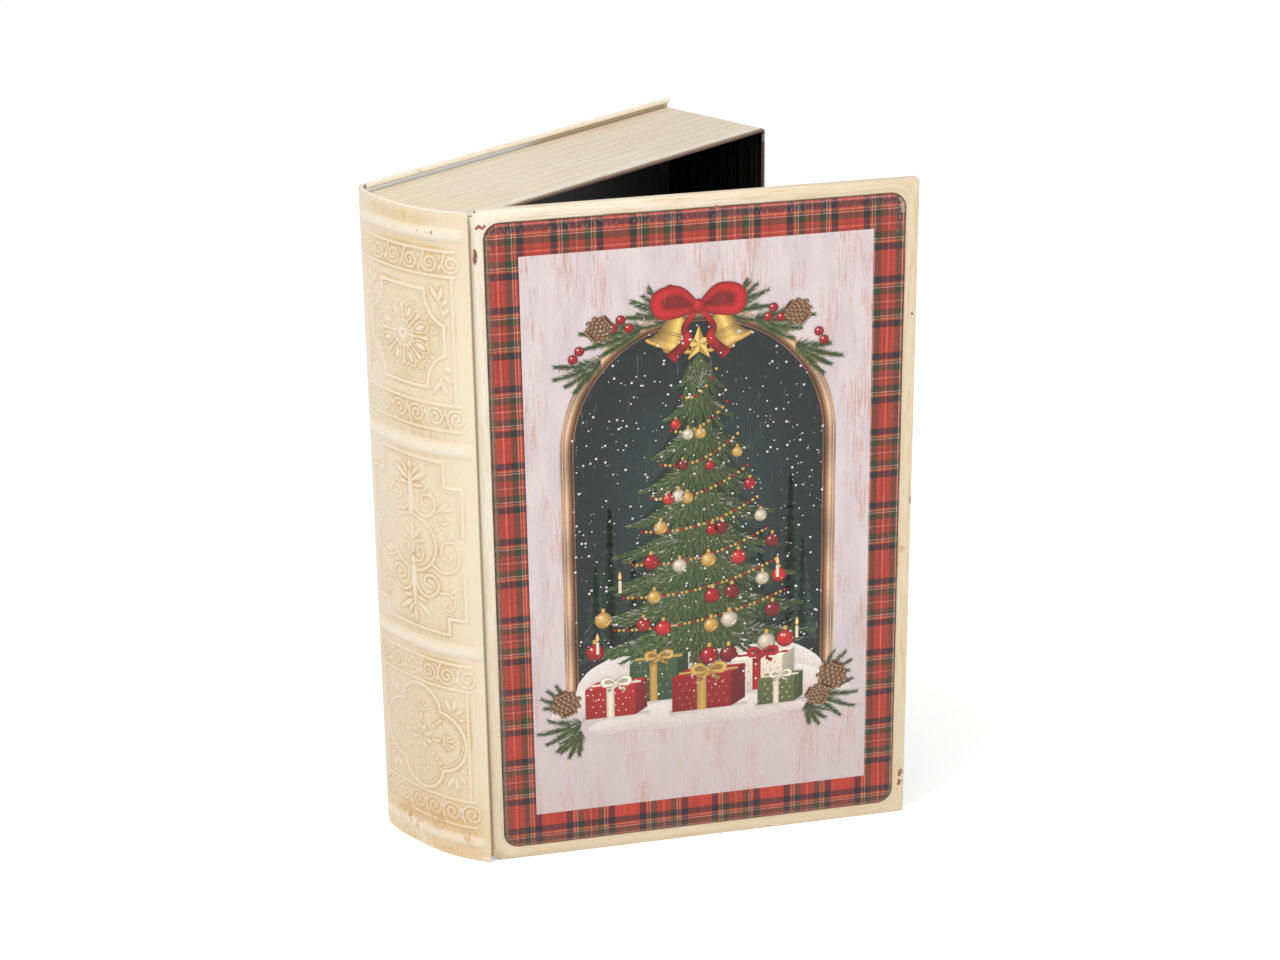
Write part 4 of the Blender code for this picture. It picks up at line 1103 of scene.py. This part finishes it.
def is_lid_inside(face):
    """The side of the panel and of the turned edge that looks into the box."""
    centre = TO_LID @ (face.center - HINGE) / MM
    normal = TO_LID @ face.normal
    if centre.x < BARREL_END:
        return False
    if normal.y > 0.3:
        return True
    inward = normal.x * (LID_REACH / 2 - centre.x) - normal.z * centre.z
    return centre.y > BACK_OF_EDGE and (inward > 40 or normal.y < -0.9)


paint_both_sides(lid, lid_print(), lid_inside(), is_lid_inside)

# %% [markdown]
# The picture is printed flat, so it has no thickness that one could feel. It could be painted with
# nodes alone, but bows and fir needles would need a node for every stroke. Instead each
# stroke is a small flat face with colours at its corners, as a screen printer lays one ink over
# another. Later inks lie a few thousandths of a millimetre higher, so that they cover the earlier.

# %% Ink and strokes
INK_STEP = 0.004
PANEL_FACE = -2.3
chance = random.Random(11)
stroke_points, stroke_inks, stroke_faces = [], [], []


def shaded(ink, share):
    """The ink with more light (share over 1) or less."""
    return tuple(min(1.0, channel * share) for channel in ink[:3]) + (1.0,)


def tones(ink, *shares):
    return [shaded(ink, share) for share in shares]


def between(first, second, share):
    return tuple(a + (b - a) * share for a, b in zip(first, second))


def around(centre, radius, angle, tall=1.0):
    """The point at an angle on a ring."""
    return (centre[0] + math.cos(angle) * radius, centre[1] + math.sin(angle) * radius * tall)


def lattice(rows, columns, closed=False):
    """Four-cornered faces between rows of points. Closed rows end where they start."""
    return [(row * columns + k, row * columns + (k + 1) % columns,
             (row + 1) * columns + (k + 1) % columns, (row + 1) * columns + k)
            for row in range(rows - 1) for k in range(columns if closed else columns - 1)]


def fan(count):
    """Triangles from the first point to each pair of the others."""
    return [(0, k, k + 1) for k in range(1, count)]


def lay(points, inks, faces, level):
    """Adds flat faces on the panel, turned so that they look out of the lid."""
    start = len(stroke_points)
    stroke_points.extend((x, PANEL_FACE - 0.02 - level * INK_STEP, z - HINGE.z / MM)
                         for x, z in points)
    stroke_inks.extend(inks)
    for face in faces:
        corners = [points[index] for index in face]
        turns = sum(a[0] * b[1] - b[0] * a[1] for a, b in zip(corners, corners[1:] + corners[:1]))
        order = face if turns > 0 else face[::-1]
        stroke_faces.append([start + index for index in order])


def ribbon(points, widths, inks, level, shades=None):
    """A stroke along points, with several inks side by side across its width."""
    points = [Vector(point) for point in points]
    if not isinstance(widths, list):
        widths = [widths] * len(points)
    placed, colours = [], []
    for index, point in enumerate(points):
        ahead, behind = points[min(index + 1, len(points) - 1)], points[max(index - 1, 0)]
        way = (ahead - behind).normalized()
        side = Vector((-way.y, way.x))
        for column, ink in enumerate(inks):
            across = (1 - 2 * column / (len(inks) - 1)) * widths[index]
            placed.append(tuple(point + side * across))
            colours.append(shaded(ink, shades[index] if shades else 1.0))
    lay(placed, colours, lattice(len(points), len(inks)), level)


def blade(start, end, width, low, high, level):
    """One needle: a thin triangle from dark to light."""
    start, end = Vector(start), Vector(end)
    side = (end - start).normalized()
    side = Vector((-side.y, side.x)) * width
    lay([tuple(start - side), tuple(start + side), tuple(end)], [low, low, high], fan(2), level)


def ball(centre, radius, ink, level, light=2.2, tall=1.0, sides=18):
    """A round thing that is lit from the upper left."""
    rings = ((0.0, light), (0.35, 1.25), (0.75, 0.85), (1.0, 0.42))
    points, inks = [], []
    for share, shade in rings:
        shift = (1 - share) * 0.35 * radius
        middle = (centre[0] - shift, centre[1] + shift * tall)
        points += [around(middle, radius * share, math.tau * k / sides, tall) for k in range(sides)]
        inks += [shaded(ink, shade)] * sides
    lay(points, inks, lattice(len(rings), sides, True), level)


def dab(centre, radius, ink, level, sides=7):
    lay([around(centre, radius, math.tau * k / sides) for k in range(sides)], [ink] * sides,
        [tuple(range(sides))], level)


def smooth_curve(points, count):
    """Points along a smooth curve through the given ones, with so many to each span."""
    points = [Vector(point) for point in points]
    padded = [points[0] * 2 - points[1]] + points + [points[-1] * 2 - points[-2]]
    result = [through(*padded[k:k + 4], step / count)
              for k in range(len(padded) - 3) for step in range(count)]
    return result + [points[-1]]


print("tools for ribbons, blades, balls and dabs are ready")

# %% [markdown]
# A fir frond is a thin stem with needles on both sides, long at its root and short at its tip. Snow
# lies on the upper needles, so there the ends of some are cream.

# %% Fir fronds
NIGHT = srgb(28, 38, 36)
FAR_GREEN = srgb(58, 76, 66)
DEEP_GREEN = srgb(30, 48, 30)
LEAF_GREEN = srgb(84, 108, 52)
LIGHT_GREEN = srgb(150, 160, 88)
BARK = srgb(96, 66, 46)
SNOW = srgb(240, 232, 226)
BERRY = srgb(158, 30, 32)
GOLD = srgb(200, 158, 84)
COPPER = srgb(166, 116, 84)
NEEDLE_GAP = 0.62


def frond(root, tip, needle, level, snow=0.2, sag=0.0, light=1.0):
    root, tip = Vector(root), Vector(tip)
    along = (tip - root).normalized()
    count = max(5, int((tip - root).length / NEEDLE_GAP))

    def on_stem(share):
        return root.lerp(tip, share) - Vector((0, sag * math.sin(math.pi * share)))

    ribbon([on_stem(k / 8) for k in range(9)], [0.35 * (1.2 - k / 8) for k in range(9)],
           tones(BARK, 1.0, 1.5, 1.0), level + 0.4)
    for index in range(count):
        t = (index + 0.4) / count
        for side in (-1, 1):
            angle = side * math.radians(chance.uniform(32, 52) * (1 - 0.45 * t))
            reach = needle * (1 - 0.5 * t) * chance.uniform(0.75, 1.1)
            way = Matrix.Rotation(angle, 2) @ along
            green = between(LEAF_GREEN, LIGHT_GREEN, chance.random() ** 2)
            end = SNOW if way.y > -0.35 and chance.random() < snow else shaded(green, light)
            dark = shaded(DEEP_GREEN, light * chance.uniform(0.8, 1.3))
            blade(on_stem(t), on_stem(t) + way * reach, 0.3, dark, end,
                  level + chance.random() * 2)


def sprig(root, angle, length, level, spread=60, needle=4.2, snow=0.15):
    """Four fronds that fan out from one root."""
    for index in range(4):
        off_middle = index / 3 - 0.5
        reach = length * chance.uniform(0.8, 1.05) * (1 - 0.3 * abs(off_middle))
        tip = around(root, reach, math.radians(angle + spread * off_middle))
        frond(root, tip, needle, level + index * 0.5, snow, sag=reach * 0.05)


def pine_cone(centre, size, angle, level):
    """Rows of scales, dark at the root and pale at the lip."""
    turn = Matrix.Rotation(math.radians(angle), 2)
    for row in range(7):
        half = size * 0.42 * math.sin(math.pi * (row + 1.2) / 8.6)
        above = level + row * 0.4
        for column in range(-2, 3):
            across = half * (column + 0.5 * (row % 2)) / 2
            place = Vector(centre) + turn @ Vector((across, size * (0.5 - row / 7)))
            ball(place, size * 0.115, srgb(128, 90, 62), above, light=1.7, tall=0.8, sides=9)
            dab(place + turn @ Vector((0, -size * 0.05)), size * 0.03, srgb(212, 184, 152),
                above + 0.3)


print("a frond of 20 mm has", int(20 / NEEDLE_GAP) * 2, "needles")

# %% [markdown]
# Behind all stands an arched window with a winter night, framed by a copper moulding. Its middle
# is a little lighter than its rim, so that the tree stands in a glow. Small firs far off and four
# drifts of snow give depth.

# %% Window and snow
MIDDLE = (PICTURE[0] + PICTURE[1]) / 2
ARCH_HALF, ARCH_FOOT, ARCH_SPRING = 50.0, 66.0, 172.0
MOULDINGS = ((1.6, 1.6, (COPPER, srgb(232, 198, 158), COPPER, srgb(104, 66, 50)), 12),
             (4.0, 0.45, (srgb(226, 190, 160), COPPER), 12),
             (-0.6, 0.35, (srgb(90, 58, 44), COPPER), 12.5))
GLOW_HEIGHT = 140


def arch(grow, steps=40):
    half = ARCH_HALF + grow
    side = [(MIDDLE - half, ARCH_FOOT + (ARCH_SPRING - ARCH_FOOT) * k / 20) for k in range(20)]
    top = [around((MIDDLE, ARCH_SPRING), half, math.pi * (1 - k / steps)) for k in range(steps + 1)]
    return side + top + [(2 * MIDDLE - x, z) for x, z in side[::-1]]


def window():
    """The night in four rings, lighter inwards, and three mouldings round it."""
    rim = arch(0)
    rings = ((1.0, 0.8), (0.75, 1.0), (0.5, 1.7), (0.2, 2.4))
    points = [(MIDDLE + (x - MIDDLE) * share, GLOW_HEIGHT + (z - GLOW_HEIGHT) * share)
              for share, shade in rings for x, z in rim]
    middle = tuple(range(3 * len(rim), 4 * len(rim)))
    lay(points, [shaded(NIGHT, shade) for share, shade in rings for point in rim],
        lattice(4, len(rim), True) + [middle], 0)
    for grow, width, inks, level in MOULDINGS:
        path = arch(grow)
        ribbon(path, width, inks, level, [0.9 + 0.25 * math.sin(k * 0.9) for k in range(len(path))])


def far_fir(x, foot, height, level, light):
    for row in range(int(height / 1.1)):
        up = foot + row * 1.1
        half = height * 0.2 * (1 - row * 1.1 / height) * (1.0 - 0.4 * ((row % 4) / 3))
        for side in (-1, 1):
            blade((x, up + 1.6), (x + side * half, up - 0.8), 1.0,
                  *tones(FAR_GREEN, light * 0.5, light), level)


def drift(left, right, top, bottom, wave, level, light):
    """A bank of snow: pale on its crest, rosy below, and fading into the wood at its foot."""
    columns = 61
    crest, belly, foot = [], [], []
    for k in range(columns):
        share = k / (columns - 1)
        x = left + (right - left) * share
        ends = math.sin(math.pi * share) ** 0.35
        waves = math.sin(x * 0.13 + level) + 0.5 * math.sin(x * 0.37)
        low = bottom - wave * 0.6 * math.sin(x * 0.21 + level) + 3 * (1 - ends)
        high = max(bottom + (top - bottom) * ends + wave * ends * waves, low + 0.2)
        crest.append((x, high))
        belly.append((x, low + (high - low) * 0.45))
        foot.append((x, low))
    inks = [ink for ink in (shaded(SNOW, light), srgb(232, 216, 208), srgb(216, 200, 198))
            for k in range(columns)]
    lay(crest + belly + foot, inks, lattice(3, columns), level)


window()
for fir in ((49, 86, 62, 1, 0.62), (121, 86, 70, 1, 0.6), (58, 86, 44, 2, 0.8),
            (109, 86, 48, 2, 0.8), (43, 84, 40, 3, 1.0), (126, 84, 44, 3, 1.05)):
    far_fir(*fir)
for left, right, *shape in ((-51, 51, 90, 66, 1.6, 14, 1.0), (-61, 14, 74, 58, 1.3, 15, 1.03),
                            (-12, 62, 73, 57, 1.3, 16, 1.03), (-46, 44, 64, 51, 1.0, 17, 1.0)):
    drift(MIDDLE + left, MIDDLE + right, *shape)
print("strokes so far", len(stroke_faces))

# %% [markdown]
# The tree is built as one would paint it: from the lowest tier upwards, so that each tier falls
# over the one below. Within a tier the outer fronds come first and those that hang towards the
# viewer come last.

# %% Fir tree
TREE_FOOT, TREE_TOP, TIERS = 84.0, 206.0, 9
TIER_RISE = (TREE_TOP - TREE_FOOT) / TIERS
tips = []


def tier_size(tier, widest, narrowest):
    """The height and the half width of a tier."""
    share = tier / TIERS
    return TREE_FOOT + TIER_RISE * tier, widest * (1 - share) ** 0.92 + narrowest


ribbon([(MIDDLE, 66), (MIDDLE, 90)], [3.2, 3.0], tones(BARK, 0.5, 1.3, 0.6), 16)
for tier in range(TIERS):
    up, half = tier_size(tier, 43, 3.5)
    level = 18 + 3.6 * tier
    needle = 4.6 - 1.6 * tier / TIERS
    skirt = [(MIDDLE + half * 0.86 * math.sin(k * math.pi / 16),
              up + TIER_RISE * 0.2 - 3.0 * math.cos(k * math.pi / 16)) for k in range(-8, 9)]
    lay([(MIDDLE, up + TIER_RISE * 2.0)] + skirt, [DEEP_GREEN] + [shaded(DEEP_GREEN, 0.6)] * 17,
        fan(17), level)
    fronds = max(7, int(half / 1.9)) | 1
    sides = [2 * index / (fronds - 1) - 1 for index in range(fronds)]
    for side in sorted(sides, key=lambda side: -abs(side)):
        tip = (MIDDLE + half * side * chance.uniform(0.93, 1.04),
               up + TIER_RISE * 0.2 - 7.0 * (1 - side * side) + chance.uniform(-1.2, 1.2))
        root = (MIDDLE + half * side * 0.22, up + TIER_RISE * 1.15 - 4 * abs(side))
        frond(root, tip, needle, level + 0.6 + (1 - abs(side)) * 0.9, snow=0.16,
              sag=1.6 * abs(side), light=1.0 - 0.15 * side)
        tips.append((tip, side, tier))
for off in range(-3, 4):
    frond((MIDDLE, TREE_TOP - 12), (MIDDLE + off * 1.5, TREE_TOP + 1 - abs(off) * 2.2), 2.6,
          level + 4, snow=0.2)
print("fronds on the tree", len(tips), "strokes", len(stroke_faces))

# %% [markdown]
# Glass balls, strings of beads, candles and a star trim the tree. A glass ball is four rings of
# one ink, from a bright point to a dark rim. Each hangs near the tip of a frond.

# %% Trimmings
STAR_HEIGHT = 212
BALL_INKS = (BERRY, GOLD, srgb(186, 46, 40), srgb(120, 30, 34), srgb(206, 190, 168))
WAX = (srgb(190, 160, 130), srgb(250, 240, 220), srgb(214, 190, 160))
FLAME = (srgb(240, 150, 60), srgb(255, 238, 170), srgb(240, 150, 60))


def glass_ball(place, radius, ink, level):
    x, z = place
    ribbon([(x, z + radius * 1.45), (x, z + radius * 0.9)], radius * 0.24,
           tones(GOLD, 0.6, 1.5, 0.5), level)
    ball(place, radius, ink, level + 0.6)
    dab((x - radius * 0.36, z + radius * 0.4), radius * 0.13, SNOW, level + 1.2)
    ribbon([around(place, radius * 0.72, angle) for angle in (-1.3, -0.9, -0.5, -0.1)],
           [0.02, radius * 0.07, radius * 0.07, 0.02], tones(ink, 1.8, 1.8), level + 1.2)


def candle(place, height, level):
    x, z = place
    ribbon([place, (x, z + height)], height * 0.13, WAX, level)
    ribbon([(x, z + height * share) for share in (1.08, 1.22, 1.36, 1.55, 1.8)],
           [height * width for width in (0.05, 0.13, 0.15, 0.09, 0.0)], FLAME, level + 0.5)


for tier in range(TIERS - 1):
    row = [tip for tip, side, own_tier in tips if own_tier == tier and abs(side) < 0.97]
    wanted = max(2, 6 - tier // 2)
    for index in range(wanted):
        x, z = row[int((index + 0.5) * len(row) / wanted)]
        ink = BALL_INKS[(index * 2 + tier) % len(BALL_INKS)]
        glass_ball((x + chance.uniform(-1, 1), z + 1.5),
                   3.5 - tier * 0.2 + chance.uniform(-0.3, 0.3), ink, 54)
for tier in range(1, TIERS):
    up, half = tier_size(tier, 36, 2)
    beads = int(half * 2 / 1.75)
    for index in range(beads + 1):
        side = 2 * index / beads - 1
        place = (MIDDLE + half * side, up + 4 - 4.5 * (1 - side * side) + 5 * side)
        ball(place, 0.72, GOLD if index % 3 else BERRY, 52, sides=8)
for (x, z), side, tier in tips:
    if 0.86 < abs(side) < 0.999 and tier < TIERS - 1 and tier % 2 == 0:
        candle((x - side * 1.5, z + 0.5), 5.2, 57)
star = [around((MIDDLE, STAR_HEIGHT), 3.0 if k % 2 else 7.4, math.pi / 2 - k * math.pi / 5)
        for k in range(10)]
for k in range(10):
    bright = 1.75 if k % 2 else 0.72
    lay([(MIDDLE, STAR_HEIGHT), star[k], star[(k + 1) % 10]],
        tones(GOLD, bright * 1.2, bright, bright), fan(2), 60)
print("strokes with trimmings", len(stroke_faces))

# %% [markdown]
# Parcels lie in the snow before the tree. Each is three flat sides of a box with ribbons across,
# and a bow on top: two loops, two tails and a knot, in ribbons of several inks.

# %% Parcels and bows
def bow(centre, size, ink, level, tails=1.0):
    inks = tones(ink, 0.6, 1.0, 1.25, 0.95, 0.55)
    dark, inner = tones(ink, 0.35, 0.6)
    for side in (-1, 1):
        def at(across, up):
            return (centre[0] + side * size * across, centre[1] + size * up)

        tail = smooth_curve([centre, at(0.35, -0.5 * tails), at(0.3, -0.85 * tails),
                             at(0.7, -1.3 * tails)], 6)
        count = len(tail)
        ribbon(tail, [size * (0.05 + 0.11 * k / count) for k in range(count)], inks, level,
               [0.8 + 0.35 * math.sin(k * 0.7) for k in range(count)])
        loop = smooth_curve([centre, at(0.5, 0.42), at(1.0, 0.3), at(0.95, -0.1), at(0.45, -0.12),
                             centre], 6)
        lay([at(0.6, 0.1)] + [tuple(point) for point in loop], [inner] + [dark] * len(loop),
            fan(len(loop)), level + 0.6)
        fullness = [math.sin(math.pi * k / (len(loop) - 1)) for k in range(len(loop))]
        ribbon(loop, [size * (0.07 + 0.1 * full) for full in fullness], inks, level + 1.2,
               [0.75 + 0.45 * full for full in fullness])
        for crease in (0.25, 0.5):
            blade(at(0.08, 0.03), at(0.2 + crease, crease * 0.75), size * 0.02, dark, inks[1],
                  level + 1.8)
    ball(centre, size * 0.17, ink, level + 2.4, light=1.6, tall=1.15)


def parcel(x, foot, width, height, ink, band_ink, level):
    right, up = x + width, foot + height
    slant = Vector((width * 0.24, height * 0.22))
    low_left, low_right, high_right, high_left = (
        Vector(corner) for corner in ((x, foot), (right, foot), (right, up), (x, up)))
    for corners, shades in (
            ((low_left, low_right, high_right, high_left), (0.75, 0.9, 1.15, 1.0)),
            ((high_left, high_right, high_right + slant, high_left + slant),
             (1.35, 1.3, 1.15, 1.25)),
            ((low_right, low_right + slant, high_right + slant, high_right),
             (0.45, 0.4, 0.55, 0.65))):
        lay([tuple(corner) for corner in corners], tones(ink, *shades), [(0, 1, 2, 3)], level)
    for row in range(1, 5):
        for column in range(1, int(width / 3)):
            dab((x + column * 3 + (row % 2) * 1.2, foot + height * row / 5), 0.34,
                shaded(band_ink, 0.9), level + 0.5, 5)
    middle = Vector((x + width / 2, up))
    band_inks = tones(band_ink, 0.7, 1.15, 0.75)
    for start, end, half in (((middle.x, foot), middle, width * 0.08),
                             (middle, middle + slant, width * 0.07),
                             (high_left + slant / 2, high_right + slant / 2, height * 0.035)):
        ribbon([start, end], half, band_inks, level + 1)
    bow(tuple(middle + Vector((slant.x * 0.5, slant.y * 0.6))), width * 0.26, band_ink,
        level + 1.6, tails=0.5)
    ribbon([(x - 1, foot - 0.5), (right + slant.x + 1, foot + 0.4)], [1.1, 0.4],
           [srgb(190, 168, 160), srgb(224, 210, 204)], level - 0.5)


CREAM_INK = srgb(236, 222, 200)
for gift in ((56, 64, 19, 17, srgb(62, 84, 56), GOLD, 62),
             (97, 64, 21, 14, CREAM_INK, srgb(170, 38, 36), 62),
             (38, 59, 20, 13, srgb(172, 40, 38), CREAM_INK, 66),
             (73, 58, 24, 15, srgb(150, 30, 34), GOLD, 66),
             (108, 57, 15, 11, srgb(96, 104, 60), CREAM_INK, 66)):
    parcel(*gift)
for x, z, angle, size in ((30, 66, 20, 11), (138, 66, -25, 12), (133, 58, 60, 9)):
    pine_cone((x, z), size, angle, 74)
for x, z, angle, length in ((36, 58, 200, 18), (32, 66, 150, 15), (36, 54, 235, 12),
                            (131, 60, -15, 19), (134, 68, 30, 15), (128, 55, -50, 12)):
    sprig((x, z), angle, length, 68, needle=4.0, snow=0.25)
print("strokes with parcels", len(stroke_faces))

# %% [markdown]
# Over the arch hangs a swag of fir with a red bow and two gold bells. A bell is turned work, so its
# profile is a ribbon whose width changes, with five inks across that read as a round body.

# %% Bells
BELL_PROFILE = ((0.0, 0.02), (0.04, 0.2), (0.15, 0.31), (0.4, 0.38), (0.65, 0.45), (0.82, 0.56),
                (0.95, 0.7), (1.0, 0.72))
SWAG_BERRIES = ((-30, 224), (-27, 220.5), (-33, 221), (29, 224), (32, 220), (27, 220.5), (-14, 232),
                (-11, 234.5), (13, 233.5), (16, 231), (-46, 213), (-48.5, 210), (47, 213),
                (49, 209.5))
SWAG_SPRIGS = ((4, 6, 26, 62), (22, -8, 24, 63), (38, -26, 20, 64), (10, 28, 17, 61),
               (28, 18, 15, 61))


def bell(centre, size, lean, level):
    turn = Matrix.Rotation(math.radians(lean), 2)

    def at(across, down):
        return Vector(centre) + turn @ Vector((across, -down)) * size

    ball(at(0, 1.05), size * 0.15, shaded(GOLD, 0.8), level, light=1.6)
    ribbon([at(0, down) for down, half in BELL_PROFILE],
           [half * size for down, half in BELL_PROFILE],
           tones(GOLD, 0.35, 0.9, 1.9, 1.15, 0.7, 0.3), level + 0.6,
           [0.8, 0.95, 1.1, 1.05, 0.9, 0.85, 1.2, 0.8])
    for half, down, bend, width, angles, inks in (
            (0.72, 0.96, 0.09, 0.045, (-1.5, -1, -0.5, 0, 0.5, 1, 1.5), tones(GOLD, 1.7, 0.6)),
            (0.4, 0.5, 0.05, 0.012, (-1.3, -0.6, 0, 0.6, 1.3), tones(GOLD, 0.4, 0.4)),
            (0.4, 0.57, 0.05, 0.012, (-1.3, -0.6, 0, 0.6, 1.3), tones(GOLD, 0.4, 0.4))):
        ribbon([at(half * math.sin(angle), down + bend * math.cos(angle)) for angle in angles],
               size * width, inks, level + 1.2)


for side in (-1, 1):
    for reach, angle, length, level in SWAG_SPRIGS:
        root = (MIDDLE + side * reach, 226 - 0.012 * reach * reach)
        sprig(root, angle if side > 0 else 180 - angle, length, level, spread=46, needle=4.4,
              snow=0.2)
for x, z in SWAG_BERRIES:
    ball((MIDDLE + x, z), 1.9, BERRY, 72)
    dab((MIDDLE + x - 0.6, z + 0.7), 0.35, SNOW, 73)
for side in (-1, 1):
    pine_cone((MIDDLE + side * 39, 221), 10, side * 50, 72)
    bell((MIDDLE + side * 7.5, 224), 13, side * 20, 74)
bow((MIDDLE, 227), 15.5, srgb(176, 34, 34), 78)
print("strokes with the swag", len(stroke_faces))

# %% [markdown]
# Falling snow ties all together: small dabs of cream, thick in the window and thin outside. Then
# the strokes become one mesh, with each corner's ink in a colour attribute that the material
# reads. The print has a fine mottle, because the inks were rolled on a hard sheet.

# %% Falling snow and the finished print
def in_window(x, z):
    if z < ARCH_SPRING:
        return abs(x - MIDDLE) < ARCH_HALF and z > ARCH_FOOT
    return math.hypot(x - MIDDLE, z - ARCH_SPRING) < ARCH_HALF


flakes = 0
for attempt in range(900):
    place = (chance.uniform(PICTURE[0] + 8, PICTURE[1] - 8), chance.uniform(52, 236))
    if in_window(*place) or chance.random() < 0.12:
        size = chance.choice((0.16, 0.22, 0.3, 0.42)) * (1.25 if in_window(*place) else 0.8)
        dab(place, size, between(SNOW, srgb(206, 206, 210), chance.random()),
            84 + chance.random(), sides=6)
        flakes += 1

picture_mesh = bpy.data.meshes.new("printed_picture")
FROM_LID = TO_LID.transposed()
picture_mesh.from_pydata([tuple(HINGE + FROM_LID @ (Vector(point) * MM))
                          for point in stroke_points], [], stroke_faces)
layer = picture_mesh.attributes.new("ink", "FLOAT_COLOR", "POINT")
layer.data.foreach_set("color", [channel for ink in stroke_inks for channel in ink])
picture = bpy.data.objects.new("printed_picture", picture_mesh)
bpy.context.scene.collection.objects.link(picture)


def ink_print():
    paint = Finish("ink_print")
    place = paint.place()
    mottle = place.noise(0.9, 4)
    streak = place.noise((1.1, 1.1, 0.12))
    colour = paint.shaded(paint.attribute("ink", "Color"), 0.72 + (mottle * 0.34 + streak * 0.2))
    colour = paint.mix(streak.step(0.6, 0.8) * 0.14, colour, (222, 206, 204))
    return paint.finish(colour, 0.42, mottle, 0.00002)


picture_mesh.materials.append(ink_print())
print("flakes", flakes, "points", len(stroke_points), "faces", len(stroke_faces))

# %% [markdown]
# The hinge is bare metal: a drawn steel wire and four tin straps. Drawn wire has long fine lines,
# and tin a soft grain. These pieces are right as the frame has them.

# %% Hinge metal
def bare_metal(name, low, high, stretch):
    metal = Finish(name, metallic=1.0)
    grain = metal.place().noise(stretch)
    return metal.finish(metal.mix(grain, low, high), 0.25 + grain * 0.2, grain, 0.00002)


wire_metal = bare_metal("drawn_steel", (120, 118, 114), (190, 189, 186), (6, 6, 0.1))
strap_metal = bare_metal("strap_tin", (150, 150, 148), (214, 214, 210), (0.8, 0.8, 2.4))
for name, node in frame["nodes"].items():
    if name.startswith("hinge_"):
        node.data.materials.clear()
        node.data.materials.append(wire_metal if name == "hinge_wire" else strap_metal)
print("metal", wire_metal.name, strap_metal.name)

# %% [markdown]
# Last, every piece is attached to the body that carries it; the record's finish listed beside
# each is not used. The frame's own rough solids are then hidden.

# %% Join the frame
for piece, body, slot in ((cover, "case", "cream_paint"), (skin, "case", "cream_paint"),
                          (pages, "case", "page_paint"), (lid, "lid", "lid_print"),
                          (picture, "lid", "lid_print")):
    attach(piece, body)
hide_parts("spine_and_back")
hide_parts("page_edges")
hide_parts("lid")
